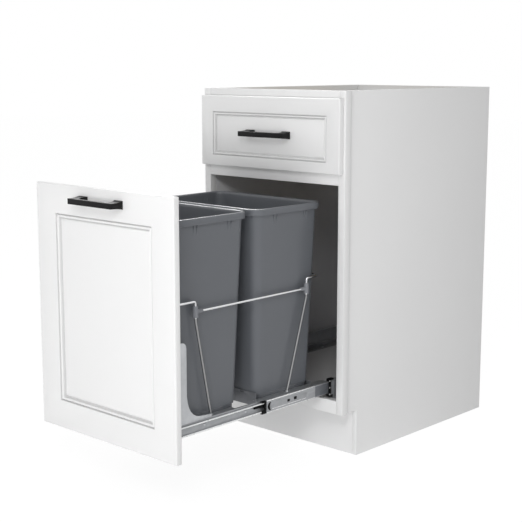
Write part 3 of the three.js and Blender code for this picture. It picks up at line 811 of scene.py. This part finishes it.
def bin_shell(node):
    """A tapered shell: a rounded block drawn up ring by ring, then hollowed ring by ring."""
    low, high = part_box(node)
    centre = (low + high) / 2
    outline = bin_outline(BIN_FLOOR, FIRST_DISTANCE)
    half = Vector((outline[0] * MM, outline[1] * MM, 0))
    piece = block(f"{node}_finished", Vector((centre.x, centre.y, BIN_FLOOR * MM)) - half,
                  Vector((centre.x, centre.y, FIRST_RING * MM)) + half)
    edit(piece)
    pick("EDGE", along(2))
    bpy.ops.mesh.bevel(offset=outline[2] * MM, segments=10, affect="EDGES")
    pick("FACE", facing((0, 0, 1)))
    height = FIRST_RING
    for next_height, distance in BIN_PROFILE:
        next_outline = bin_outline(next_height, distance)
        draw_ring(piece, centre, outline, next_outline, next_height - height)
        outline, height = next_outline, next_height
    leave()
    smooth(piece, 50)
    return piece, centre.y


# The ribs' pairs along a wall, the two of a pair, half their thickness, their faces' distance
# from the bin's middle, their ends' heights, and how far the lower end leans into the wall.
RIB_PAIRS = (-45, 56.5)
RIB_OFFSETS = (-5, 5)
RIB_HALF_THICKNESS = 1.5
RIB_FACES = (161, 166.6)
RIB_ENDS = (582, 607)
RIB_LEAN = 4


def bin_ribs(piece, centre_y):
    """Pairs of short stiffening ribs under the lip, on both long walls. Each runs out into the
    wall at its lower end."""
    ribs = []
    for place in RIB_PAIRS:
        for offset in RIB_OFFSETS:
            y = (centre_y - FRAME_FRONT) / MM + place + offset
            rib = block("rib", at(RIB_FACES[0], y - RIB_HALF_THICKNESS, RIB_ENDS[0]),
                        at(RIB_FACES[1], y + RIB_HALF_THICKNESS, RIB_ENDS[1]))
            edit(rib)
            pick("EDGE", lambda edge: all(
                v.co.z < (RIB_ENDS[0] + 1) * MM and v.co.x > (RIB_FACES[1] - 1) * MM
                for v in edge.verts))
            bpy.ops.transform.translate(value=(-RIB_LEAN * MM, 0, 0))
            leave()
            round_edges(rib, 0.9 * MM, 3)
            ribs.append(rib)
    right = join(f"{piece.name}_ribs", ribs)
    return join(right.name, [right, across(right, "ribs_left")])


class CABINET_OT_bins(bpy.types.Operator):
    """Make the two bins with their lips, stepped bases and ribs"""
    bl_idname = "cabinet.bins"
    bl_label = "Bins"

    def execute(self, context):
        for node in ("bin_front", "bin_rear"):
            piece, centre_y = bin_shell(node)
            ribs = bin_ribs(piece, centre_y)
            smooth(ribs, 40)
            hand_over(piece, "bin_plastic", PIECE_BODIES[node], "bin", node)
            hand_over(ribs, "bin_plastic", PIECE_BODIES[node], "bin")
        return {"FINISHED"}


# ---------------------------------------------------------------- wires and clips

# The hoops' legs stand on the rails, rise to a kink and reach their top corners, from which the
# hoops' bows run out to their ends. The rods join the legs' upper parts.
LEG_FOOT_SIDE = 159
LEG_FEET = {"front": -366.6, "rear": -119.3}
LEG_KINK = 405
LEG_TOPS = {"front": (168, -418, 446), "rear": (168, -63, 448)}
HOOP_ENDS = {"front": -480, "rear": -10}
RAIL_TOP = 187
ROD_HEIGHT = 424
ROD_INSET = 8
BEND_REACHES = (6, 6, 30, 30, 6, 6)
BEND_STEPS = 8
WELD_HEIGHT = 2.6
WELD_RADII = (4.6, 3.4)


def bent_path(corners, reaches):
    """The corners of a wire with each bend rounded off by a quadratic arc."""
    points = [corners[0]]
    for before, corner, after, reach in zip(corners, corners[1:], corners[2:], reaches):
        enter = corner + (before - corner).normalized() * reach * MM
        exit_ = corner + (after - corner).normalized() * reach * MM
        for step in range(BEND_STEPS + 1):
            share = step / BEND_STEPS
            points.append(
                enter * (1 - share) ** 2 + corner * 2 * share * (1 - share) + exit_ * share ** 2)
    return points + [corners[-1]]


def wire(name, points):
    """Round wire along points, swept as a curve and turned into a closed mesh."""
    deselect_everything()
    bpy.ops.curve.primitive_nurbs_path_add()
    piece = bpy.context.object
    piece.name = name
    curve = piece.data
    curve.splines.clear()
    spline = curve.splines.new("POLY")
    spline.points.add(len(points) - 1)
    for point, place in zip(spline.points, points):
        point.co = (*place, 1)
    curve.dimensions = "3D"
    curve.bevel_depth = sizes().wire_radius
    curve.bevel_resolution = 6
    curve.use_fill_caps = True
    hold(piece)
    bpy.ops.object.convert(target="MESH")
    tidy_normals(piece)
    smooth(piece, 60)
    return piece


class CABINET_OT_wires(bpy.types.Operator):
    """Bend the two wire hoops, cut the side rods and weld the legs to the rails"""
    bl_idname = "cabinet.wires"
    bl_label = "Wire Hoops and Rods"

    def execute(self, context):
        for end, foot_y in LEG_FEET.items():
            top_x, top_y, top_z = LEG_TOPS[end]
            right = [
                at(LEG_FOOT_SIDE, foot_y, RAIL_TOP + 0.3),
                at(top_x, top_y, LEG_KINK),
                at(top_x, top_y, top_z),
                at(top_x, HOOP_ENDS[end], top_z),
            ]
            left = [Vector((-corner.x, corner.y, corner.z)) for corner in reversed(right)]
            hoop = wire(f"wire_hoop_{end}_finished", bent_path(right + left, BEND_REACHES))
            hand_over(hoop, "chrome_wire", "pull_out", "chrome", f"wire_hoop_{end}")
            weld = turned("weld", at(LEG_FOOT_SIDE, foot_y, RAIL_TOP),
                          at(LEG_FOOT_SIDE, foot_y, RAIL_TOP + WELD_HEIGHT),
                          *[radius * MM for radius in WELD_RADII], sides=24)
            round_edges(weld, 1.2 * MM, 3)
            smooth(weld, 60)
            both = join(f"leg_welds_{end}", [weld, across(weld, "weld_left")])
            hand_over(both, "zinc_steel", "pull_out", "zinc")
        side_x, front_y, _ = LEG_TOPS["front"]
        rear_y = LEG_TOPS["rear"][1]
        rod = wire("side_rod_right_finished", [
            at(side_x, y, ROD_HEIGHT) for y in (front_y + ROD_INSET, rear_y - ROD_INSET)])
        hand_over_pair(rod, "chrome_wire", "pull_out", "chrome", "side_rod")
        return {"FINISHED"}


# A clip's sleeve, by half its length and its ends' radii, and its cone, by its whole length.
SLEEVE_REACH = 12
SLEEVE_RADII = (6.2, 5.4)
CONE_LENGTH = 20
CONE_RADII = (5, 3.9)


class CABINET_OT_clips(bpy.types.Operator):
    """Mould the four tee clips that hold the side rods to the legs"""
    bl_idname = "cabinet.clips"
    bl_label = "Tee Clips"

    def execute(self, context):
        for end, towards in (("front", 1), ("rear", -1)):
            x, y, _ = LEG_TOPS[end]
            sleeve = turned("sleeve", at(x, y, ROD_HEIGHT - SLEEVE_REACH),
                            at(x, y, ROD_HEIGHT + SLEEVE_REACH),
                            *[radius * MM for radius in SLEEVE_RADII])
            cone = turned("cone", at(x, y, ROD_HEIGHT),
                          at(x, y + towards * CONE_LENGTH, ROD_HEIGHT),
                          *[radius * MM for radius in CONE_RADII])
            clip = combine(sleeve, cone)
            clip.name = f"rod_clip_{end}_right_finished"
            round_edges(clip, 0.8 * MM, 3, 50)
            smooth(clip, 45)
            hand_over_pair(clip, "grey_nylon", "pull_out", "clip", f"rod_clip_{end}")
        return {"FINISHED"}


# ---------------------------------------------------------------- slides

SLIDE_OUTSIDE = 182.5
SLIDE_HEIGHT = 173
# The outer face of the middle member's web.
MIDDLE_WEB = SLIDE_OUTSIDE - 3.4


def pad(name, low, high, corner):
    """A flat pad with rounded ends, proud of a member's web."""
    piece = block(name, low, high)
    edit(piece)
    pick("EDGE", along(0))
    bpy.ops.mesh.bevel(offset=corner * MM, segments=6, affect="EDGES")
    leave()
    round_edges(piece, 0.3 * MM, 2, 60)
    smooth(piece, 40)
    return piece


def web_pad(name, start, end, half_height, proud, corner):
    """A pad on the middle member's web."""
    return pad(name, at(MIDDLE_WEB - 0.1, start, SLIDE_HEIGHT - half_height),
               at(MIDDLE_WEB + proud, end, SLIDE_HEIGHT + half_height), corner)


# The ball retainer's strips: their distance above and below the slide's middle, half their
# thickness and their faces' depths. The balls: their radius, depth, start, number and spacing.
STRIP_REACH = 12.6
STRIP_HALF_THICKNESS = 0.35
STRIP_DEPTHS = (8.6, 6.4)
BALL_RADIUS = 1.3
BALL_DEPTH = 7.5
BALL_START = -196
BALL_COUNT = 12
BALL_SPACING = 9


def ball_row(name):
    """The strips of the ball retainer with their balls, seen between two members' lips."""
    end = BALL_START + BALL_COUNT * BALL_SPACING
    balls = []
    for lip in (1, -1):
        z = SLIDE_HEIGHT + lip * STRIP_REACH
        strip = block(
            "strip", at(SLIDE_OUTSIDE - STRIP_DEPTHS[0], BALL_START, z - STRIP_HALF_THICKNESS),
            at(SLIDE_OUTSIDE - STRIP_DEPTHS[1], end, z + STRIP_HALF_THICKNESS))
        round_edges(strip, 0.2 * MM, 1)
        balls.append(strip)
        for number in range(BALL_COUNT):
            y = BALL_START + (number + 0.5) * BALL_SPACING
            deselect_everything()
            bpy.ops.mesh.primitive_uv_sphere_add(
                segments=12, ring_count=8, radius=BALL_RADIUS * MM,
                location=at(SLIDE_OUTSIDE - BALL_DEPTH, y, z))
            balls.append(set_down(bpy.context.object))
    retainer = join(name, balls)
    smooth(retainer, 60)
    return retainer


CORNER_REACH = 2.2


def rolled_corners(piece):
    """Bends the two long outer corners of a right or left member to a sheet's radius."""
    reach = max(abs(v.co.x) for v in piece.data.vertices)
    edit(piece)
    pick("EDGE", lambda edge: along(1)(edge) and edge.calc_face_angle(0) > SHARP
         and all(abs(abs(v.co.x) - reach) < 0.05 * MM for v in edge.verts))
    bpy.ops.mesh.bevel(offset=CORNER_REACH * MM, segments=4, affect="EDGES")
    leave()


def rolled_lips(name, node, depth, half_height, radius, end=None):
    """The rolled lips of a right-hand member: a bead along its upper and its lower edge. They
    stop at the member's back end, or at the end that is given."""
    low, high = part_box(node)
    start = (low.y - FRAME_FRONT) / MM
    if end is None:
        end = (high.y - FRAME_FRONT) / MM
    beads = []
    for sign in (1, -1):
        place = (SLIDE_OUTSIDE - depth, SLIDE_HEIGHT + sign * half_height)
        bead = turned("bead", at(place[0], start + 1, place[1]), at(place[0], end - 1, place[1]),
                      radius * MM, sides=20)
        round_edges(bead, 0.6 * MM, 2, 60)
        beads.append(bead)
    lips = join(name, beads)
    smooth(lips, 50)
    return lips


# Painted shade at the web's holes: the crescent and the round that hollows it, each its
# middle's Y and its radius, and its studs: Y, height above the slide's middle, and half their
# height.
CRESCENT = (-196.2, 9.8)
CRESCENT_HOLLOW = (-185.2, 14.6)
HOLE_SHADE_STUDS = ((-136, 0.4, 3.0), (-112.6, 1.4, 3.6))


def hole_shade_marks(name):
    """Black marks on a middle member's web, painted shade where its holes show dark: a crescent
    and two studs.
    """
    y, radius = CRESCENT
    crescent = turned(name, at(MIDDLE_WEB - 0.3, y, SLIDE_HEIGHT),
                      at(MIDDLE_WEB + 1, y, SLIDE_HEIGHT), radius * MM, sides=48)
    y, radius = CRESCENT_HOLLOW
    hollow = turned("hollow", at(MIDDLE_WEB - 3, y, SLIDE_HEIGHT),
                    at(MIDDLE_WEB + 3, y, SLIDE_HEIGHT), radius * MM, sides=64)
    combine(crescent, hollow, "DIFFERENCE")
    round_edges(crescent, 0.25 * MM, 2, 50)
    studs = []
    for y, rise, reach in HOLE_SHADE_STUDS:
        z = SLIDE_HEIGHT + rise
        studs.append(pad("stud", at(MIDDLE_WEB + 0.3, y - reach - 1.2, z - reach),
                         at(MIDDLE_WEB + 1.1, y + reach + 1.2, z + reach), 1.6))
    piece = join(name, [crescent] + studs)
    smooth(piece, 40)
    return piece


PRESS_LINE_ENDS = (-192, -74)
PRESS_LINE_DROP = 7.6


def press_line(name):
    """The turned-in edge along the foot of the pressed pad, bright with a painted highlight."""
    start, end = [at(MIDDLE_WEB + 0.2, y, SLIDE_HEIGHT - PRESS_LINE_DROP)
                  for y in PRESS_LINE_ENDS]
    line = turned(name, start, end, 0.9 * MM, sides=16)
    round_edges(line, 0.4 * MM, 2, 60)
    smooth(line, 50)
    return line


# The guide at the outer member's mouth: its ends along the slide, its foot and top, half the
# height of its opening, and its rivets' ends and heights.
GUIDE_ENDS = (6, 24)
GUIDE_HEIGHTS = (151, 195)
GUIDE_HALF_OPENING = 15.6
RIVET_ENDS = (7.6, 11.4)
RIVET_HEIGHTS = (156.5, SLIDE_HEIGHT, 189.5)


def end_guide(name):
    """The black nylon guide round the mouth of an outer member, open for the middle one."""
    guide = block(name, at(SLIDE_OUTSIDE - 9, GUIDE_ENDS[0], GUIDE_HEIGHTS[0]),
                  at(SLIDE_OUTSIDE - 0.2, GUIDE_ENDS[1], GUIDE_HEIGHTS[1]))
    hollow = block("hollow", at(SLIDE_OUTSIDE - 12, 0, SLIDE_HEIGHT - GUIDE_HALF_OPENING),
                   at(SLIDE_OUTSIDE - 2, 40, SLIDE_HEIGHT + GUIDE_HALF_OPENING))
    combine(guide, hollow, "DIFFERENCE")
    round_edges(guide, 0.8 * MM, 3, 50)
    smooth(guide, 40)
    return guide


def guide_rivets(name):
    """Three rivet heads down the guide's face, bright with a painted highlight."""
    return join(name, [
        pad("rivet", at(SLIDE_OUTSIDE - 1, RIVET_ENDS[0], z - 2),
            at(SLIDE_OUTSIDE - 0.05, RIVET_ENDS[1], z + 2), 1.7)
        for z in RIVET_HEIGHTS])


# The bumper's waist: its ends along the slide, and its foot and top from the slide's middle.
WAIST_ENDS = (-228, -216.6)
WAIST_HEIGHTS = (-6, 11)


def waisted(piece):
    """Cuts the bumper's front away above its foot, beside the release lever."""
    reach = [v.co.x for v in piece.data.vertices]
    cut = block(
        "cut", at(min(reach) / MM - 2, WAIST_ENDS[0], SLIDE_HEIGHT + WAIST_HEIGHTS[0]),
        at(max(reach) / MM + 2, WAIST_ENDS[1], SLIDE_HEIGHT + WAIST_HEIGHTS[1]))
    round_edges(cut, 1.5 * MM, 3)
    combine(piece, cut, "DIFFERENCE")


class CABINET_OT_slides(bpy.types.Operator):
    """Finish the pull-out's slides: lips with painted highlights, pads, black marks and a grey pad
    of painted shade, guides, balls and bumpers
    """
    bl_idname = "cabinet.slides"
    bl_label = "Pull-out Slides"

    def execute(self, context):
        edge = sizes().sheet_edge_round
        for name in ("slide_outer", "slide_inner", "slide_foot"):
            for node in pair(name):
                dressed(node, edge, "member")
        for node in pair("slide_middle"):
            dressed(node, edge, "member", worked=rolled_corners)
        for node in pair("slide_bumper"):
            dressed(node, sizes().nylon_edge_round, "black_nylon",
                    worked=waisted)
        pieces = (
            (web_pad("slide_pad_right", -196, -72, 7.5, 0.7, 3),
             "zinc_steel", "slide_middles", "member"),
            # Painted shade: a grey pad on the middle member where it runs into the cabinet's shade.
            (web_pad("slide_liner_right", -41, 20, 12.2, 0.5, 1),
             "grey_nylon", "slide_middles", "bin"),
            (press_line("slide_press_line_right"), "zinc_steel", "slide_middles", "rolled"),
            # Painted shade: black marks where the web's holes show dark.
            (hole_shade_marks("slide_latch_right"), "black_nylon", "slide_middles", "black_nylon"),
            (end_guide("slide_guide_right"), "black_nylon", "carcass", "black_nylon"),
            (guide_rivets("guide_rivets_right"), "zinc_steel", "carcass", "rolled"),
            (ball_row("ball_retainer_right"), "zinc_steel", "slide_middles", "zinc"),
            # Painted highlight: the lips take the near-white zinc.
            (rolled_lips("inner_lips_right", "slide_inner_right", 6.5, 9.6, 1.7),
             "zinc_steel", "pull_out", "rolled"),
            (rolled_lips("middle_lips_right", "slide_middle_right", 4.8, 13.3, 1.55, -41),
             "zinc_steel", "slide_middles", "rolled"),
        )
        for piece, slot, body, material in pieces:
            hand_over_pair(piece, slot, body, material)
        return {"FINISHED"}


class CABINET_OT_levers(bpy.types.Operator):
    """Finish the release levers of the pull-out's slides"""
    bl_idname = "cabinet.levers"
    bl_label = "Release Levers"

    def execute(self, context):
        for node in pair("release_lever"):
            dressed(node, sizes().nylon_edge_round, "black_nylon")
        return {"FINISHED"}


class CABINET_OT_drawer_slides(bpy.types.Operator):
    """Finish the drawer's slides"""
    bl_idname = "cabinet.drawer_slides"
    bl_label = "Drawer Slides"

    def execute(self, context):
        edge = sizes().sheet_edge_round
        for name in ("drawer_slide_outer", "drawer_slide_middle", "drawer_slide_inner"):
            for node in pair(name):
                dressed(node, edge, "zinc")
        return {"FINISHED"}


# ---------------------------------------------------------------- base frame and brackets

def slotted(x, z, half_length, half_height):
    """Cuts an oblong slot near each end of a cross rail's upright plate."""
    def work(piece):
        low = min(v.co.y for v in piece.data.vertices)
        high = max(v.co.y for v in piece.data.vertices)
        for sign in (1, -1):
            slot = block(
                "slot", Vector(((sign * x - half_length) * MM, low - 0.01, (z - half_height) * MM)),
                Vector(((sign * x + half_length) * MM, high + 0.01, (z + half_height) * MM)))
            edit(slot)
            pick("EDGE", along(1))
            bpy.ops.mesh.bevel(offset=half_height * 0.95 * MM, segments=5, affect="EDGES")
            leave()
            combine(piece, slot, "DIFFERENCE")
    return work


def cut_down(height):
    """Lowers the top of an upright plate to a height."""
    def work(piece):
        edit(piece)
        pick("VERT", lambda v: v.co.z > height * MM)
        bpy.ops.transform.resize(value=(1, 1, 0))
        top = max(v.co.z for v in bmesh.from_edit_mesh(piece.data).verts)
        bpy.ops.transform.translate(value=(0, 0, height * MM - top))
        leave()
    return work


# Where the base rail's flange is cut back: along the rail, and from the middle outwards.
RELIEF_ENDS = (-296, -226)
RELIEF_REACH = (148, 164.5)


def relieved(piece):
    """Cuts the base rail's top flange back between the bins."""
    side = 1 if piece.data.vertices[0].co.x > 0 else -1
    inner, outer = sorted(side * reach for reach in RELIEF_REACH)
    cut = block("cut", at(inner, RELIEF_ENDS[0], RAIL_TOP - 4),
                at(outer, RELIEF_ENDS[1], RAIL_TOP + 2))
    edit(cut)
    pick("EDGE", along(2))
    bpy.ops.mesh.bevel(offset=3 * MM, segments=5, affect="EDGES")
    leave()
    combine(piece, cut, "DIFFERENCE")


# What is done to each cross rail's upright plate, from the front to the back.
CROSS_RAIL_WORK = {
    "cross_rail_1": slotted(120, 192, 9, 3),
    "cross_rail_2": cut_down(174),
    "cross_rail_3": slotted(108, 197.5, 6, 1.4),
    "cross_rail_4": cut_down(190),
}


class CABINET_OT_base_frame(bpy.types.Operator):
    """Finish the base frame's rails and its cross rails, slotted or cut down"""
    bl_idname = "cabinet.base_frame"
    bl_label = "Base Frame"

    def execute(self, context):
        edge = sizes().sheet_edge_round
        for node in pair("base_rail"):
            dressed(node, edge, "member", worked=relieved)
        for node, work in CROSS_RAIL_WORK.items():
            # The cross rails take the zinc with painted shade.
            dressed(node, edge, "cross", worked=work)
        return {"FINISHED"}


class CABINET_OT_brackets(bpy.types.Operator):
    """Finish the door brackets"""
    bl_idname = "cabinet.brackets"
    bl_label = "Door Brackets"

    def execute(self, context):
        for node in pair("door_bracket"):
            dressed(node, sizes().sheet_edge_round, "zinc")
        return {"FINISHED"}


# ---------------------------------------------------------------- small fasteners

# A truss head's height, its crown's share of its radius, and its recess: the arms' share of
# the radius, half their width, their depth's start, and how far they narrow downwards.
HEAD_HEIGHT = 2.0
CROWN_SHARE = 0.62
ARM_SHARE = 0.5
ARM_HALF_WIDTH = 0.42
ARM_FOOT = 0.9
ARM_NARROWING = (0.5, 0.6, 1)


def screw_head(radius):
    """A truss head that stands on Z = 0, with a cross recess sunk in its crown."""
    head = turned("screw_head", Vector((0, 0, 0)), Vector((0, 0, HEAD_HEIGHT * MM)), radius,
                  radius * CROWN_SHARE, 24)
    round_edges(head, 0.55 * MM, 3, 40)
    for turn in (0, 90):
        corner = Vector((radius * ARM_SHARE, ARM_HALF_WIDTH * MM, 0))
        arm = block("arm", Vector((0, 0, ARM_FOOT * MM)) - corner,
                    Vector((0, 0, 2 * HEAD_HEIGHT * MM)) + corner)
        edit(arm)
        pick("FACE", facing((0, 0, -1)))
        bpy.ops.transform.resize(value=ARM_NARROWING, center_override=(0, 0, ARM_FOOT * MM))
        leave()
        arm.data.transform(Matrix.Rotation(math.radians(turn), 4, "Z"))
        combine(head, arm, "DIFFERENCE")
    smooth(head, 40)
    return head


# The faces that the slides' screws sit on, and the height of the drawer's slides.
INNER_WEB = SLIDE_OUTSIDE - 11.7
DRAWER_WEB = 207.3
DRAWER_SLIDE_HEIGHT = 752
# The right-hand screws: their body, their places and the way their heads look.
SCREWS = (
    ("pull_out", [(INNER_WEB, y, SLIDE_HEIGHT + 1) for y in (-397.7, -270, -40)], (1, 0, 0)),
    ("carcass", [(163.5, y, 144.1) for y in (62, 228, 395, 500)], (0, 0, 1)),
    ("carcass", [(DRAWER_WEB, y, DRAWER_SLIDE_HEIGHT) for y in (80, 240, 400)], (-1, 0, 0)),
    ("pull_out", [(161.5, -510.2, z) for z in (226, 288, 342)], (0, 1, 0)),
    ("carcass", [(188, 46, 842), (164, 28, 842)], (0, 0, -1)),
    ("drawer", [(120, 12.5, z) for z in (732, 795)], (0, 1, 0)),
)
# Each head is turned this many degrees further than the one before.
SCREW_TURN = 37


def screw_places():
    """Each body's screws on both sides: (place, the way the head looks)."""
    places = {"carcass": [], "pull_out": [], "drawer": []}
    for sign in SIDES.values():
        for body, spots, (way_x, way_y, way_z) in SCREWS:
            way = Vector((sign * way_x, way_y, way_z))
            places[body] += [(at(sign * x, y, z), way) for x, y, z in spots]
    return places


class CABINET_OT_fasteners(bpy.types.Operator):
    """Make one truss-head screw and copy it to every fixing"""
    bl_idname = "cabinet.fasteners"
    bl_label = "Screws"

    def execute(self, context):
        model = screw_head(sizes().screw_head_radius)
        for body, spots in screw_places().items():
            heads = []
            for number, (spot, way) in enumerate(spots):
                turn = way.to_track_quat("Z", "Y").to_matrix().to_4x4()
                roll = Matrix.Rotation(math.radians(SCREW_TURN * number), 4, "Z")
                heads.append(copied(model, "head", Matrix.Translation(spot) @ turn @ roll))
            screws = join(f"{body}_screws", heads)
            hand_over(screws, "zinc_steel", body, "zinc")
        bpy.data.objects.remove(model)
        for node in pair("door_handle_screw"):
            dressed(node, sizes().screw_edge_round, "zinc")
        return {"FINISHED"}


# ---------------------------------------------------------------- stage

# The camera stands where the photo's did: its place in metres, its turn in degrees, and its
# lens and sensor.
CAMERA_PLACE = (1.8928, -2.0880, 0.9397)
CAMERA_TURN = (80.285, 0, 43.044)
CAMERA_LENS = 80
CAMERA_SENSOR = 36
# Each lamp's place, the spot that it faces, its width and height in metres, its power in watts
# and the rays, besides the camera's, that don't see it.
LAMPS = {
    "Window": ((-1.9, -3.3, 2.3), (0, -0.45, 0.5), (2.2, 2.2), 3, ()),
    "Low front": ((1.2, -3.2, 0.4), (0.05, -0.1, 0.2), (2.0, 0.6), 29, ("glossy",)),
    "Beside camera": ((1.9, -2.5, 2.2), (0, -0.2, 0.45), (0.8, 0.8), 24, ()),
    "Strip behind": ((-1.1, 0.6, 2.3), (0, -0.4, 0.6), (1.5, 0.35), 90, ("diffuse",)),
}
# The world's strength as light, and as the background that is seen directly or in a gloss.
WORLD_FILL = 0.48
WORLD_SEEN = 1.0
# The floor's width, and how far it lies below the cabinet's feet, so that they share no plane.
FLOOR_WIDTH = 30
FLOOR_DROP = 0.2
# The floor as the camera sees it, a glow over a weak matt share, and as all other light does.
FLOOR_GLOW = 0.92
FLOOR_FAINT = 0.16
FLOOR_MATT = 0.9
FLOOR_FILL = 0.15
WHITE = (1, 1, 1, 1)


class CABINET_OT_stage(bpy.types.Operator):
    """Set the pale floor, the soft studio light and the camera"""
    bl_idname = "cabinet.stage"
    bl_label = "Stage"

    def execute(self, context):
        self.lay_floor()
        self.light_world(context.scene)
        for name, (place, target, size, power, unseen_by) in LAMPS.items():
            lamp = self.hang_lamp(name, place, target, size, power)
            for rays in ("camera", *unseen_by):
                setattr(lamp, f"visible_{rays}", False)
        camera = bpy.data.cameras.new("Camera")
        camera.lens = CAMERA_LENS
        camera.sensor_width = CAMERA_SENSOR
        holder = bpy.data.objects.new("Camera", camera)
        context.scene.collection.objects.link(holder)
        holder.location = CAMERA_PLACE
        holder.rotation_euler = [math.radians(angle) for angle in CAMERA_TURN]
        context.scene.camera = holder
        context.scene.view_settings.view_transform = "Standard"
        return {"FINISHED"}

    def lay_floor(self):
        """A white floor. Seen directly it is lifted almost to white by a glow, over which a
        weak matt share keeps the cabinet's shadow; all other light finds matt white with the
        faint glow of a floor that is lit beyond the picture."""
        deselect_everything()
        bpy.ops.mesh.primitive_plane_add(size=FLOOR_WIDTH, location=(0, 0, -FLOOR_DROP * MM))
        floor = set_down(bpy.context.object)
        floor.name = "floor"
        material = bpy.data.materials.new("White studio floor")
        material.use_nodes = True
        tree = material.node_tree
        tree.nodes.clear()
        matt = add_node(tree, "BsdfDiffuse", Color=rgba([FLOOR_MATT] * 3))
        faint = add_node(tree, "BsdfDiffuse", Color=rgba([FLOOR_FAINT] * 3))
        glow = add_node(tree, "Emission", Color=WHITE, Strength=FLOOR_GLOW)
        lifted = add_node(tree, "AddShader", i0=faint, i1=glow)
        fill = add_node(tree, "Emission", Color=WHITE, Strength=FLOOR_FILL)
        other = add_node(tree, "AddShader", i0=matt, i1=fill)
        path = add_node(tree, "LightPath").outputs
        seen = add_node(tree, "Math", {"operation": "MAXIMUM"}, i0=path["Is Camera Ray"],
                        i1=path["Is Transmission Ray"])
        mix = add_node(tree, "MixShader", i0=seen, i1=other, i2=lifted)
        add_node(tree, "OutputMaterial", Surface=mix)
        floor.data.materials.append(material)

    def light_world(self, scene):
        """A plain pale world. The camera, glosses and glass see it at its full white."""
        world = bpy.data.worlds.new("Studio")
        scene.world = world
        world.use_nodes = True
        tree = world.node_tree
        tree.nodes.clear()
        path = add_node(tree, "LightPath").outputs
        seen = add_node(tree, "Math", {"operation": "MAXIMUM"}, i0=path["Is Camera Ray"],
                        i1=path["Is Glossy Ray"])
        either = add_node(tree, "Math", {"operation": "MAXIMUM"}, i0=seen,
                          i1=path["Is Transmission Ray"])
        strength = add_node(tree, "MapRange", Value=either, To_Min=WORLD_FILL, To_Max=WORLD_SEEN)
        white = add_node(tree, "Background", Color=WHITE, Strength=strength)
        add_node(tree, "OutputWorld", Surface=white)

    def hang_lamp(self, name, place, target, size, power):
        light = bpy.data.lights.new(name, "AREA")
        light.shape = "RECTANGLE"
        light.size, light.size_y = size
        light.energy = power
        lamp = bpy.data.objects.new(name, light)
        bpy.context.scene.collection.objects.link(lamp)
        lamp.location = place
        lamp.rotation_euler = (Vector(place) - Vector(target)).to_track_quat("Z", "Y").to_euler()
        return lamp


# ---------------------------------------------------------------- add-on

OPERATORS = (
    CABINET_OT_stage, CABINET_OT_fronts, CABINET_OT_handles, CABINET_OT_face_frame,
    CABINET_OT_carcass, CABINET_OT_drawer_box, CABINET_OT_bins, CABINET_OT_wires,
    CABINET_OT_clips, CABINET_OT_slides, CABINET_OT_levers, CABINET_OT_drawer_slides,
    CABINET_OT_base_frame, CABINET_OT_brackets, CABINET_OT_fasteners,
)


class CABINET_PT_panel(bpy.types.Panel):
    """Lists the steps that finish the cabinet"""
    bl_idname = "CABINET_PT_panel"
    bl_label = "Waste Bin Cabinet"
    bl_space_type = "VIEW_3D"
    bl_region_type = "UI"
    bl_category = "Cabinet"

    def draw(self, context):
        for operator in OPERATORS:
            self.layout.operator(operator.bl_idname)
        for group in (sizes(), colours()):
            for name in group.bl_rna.properties.keys():
                if name not in {"rna_type", "name"}:
                    self.layout.prop(group, name)


CLASSES = (CabinetSizes, CabinetColours, *OPERATORS, CABINET_PT_panel)


def register():
    for one in CLASSES:
        bpy.utils.register_class(one)
    bpy.types.Scene.cabinet_sizes = bpy.props.PointerProperty(type=CabinetSizes)
    bpy.types.Scene.cabinet_colours = bpy.props.PointerProperty(type=CabinetColours)


def unregister():
    del bpy.types.Scene.cabinet_colours
    del bpy.types.Scene.cabinet_sizes
    for one in reversed(CLASSES):
        bpy.utils.unregister_class(one)


def main():
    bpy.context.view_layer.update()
    register()
    for operator in OPERATORS:
        group, name = operator.bl_idname.split(".")
        getattr(getattr(bpy.ops, group), name)()


if __name__ == "__main__":
    main()
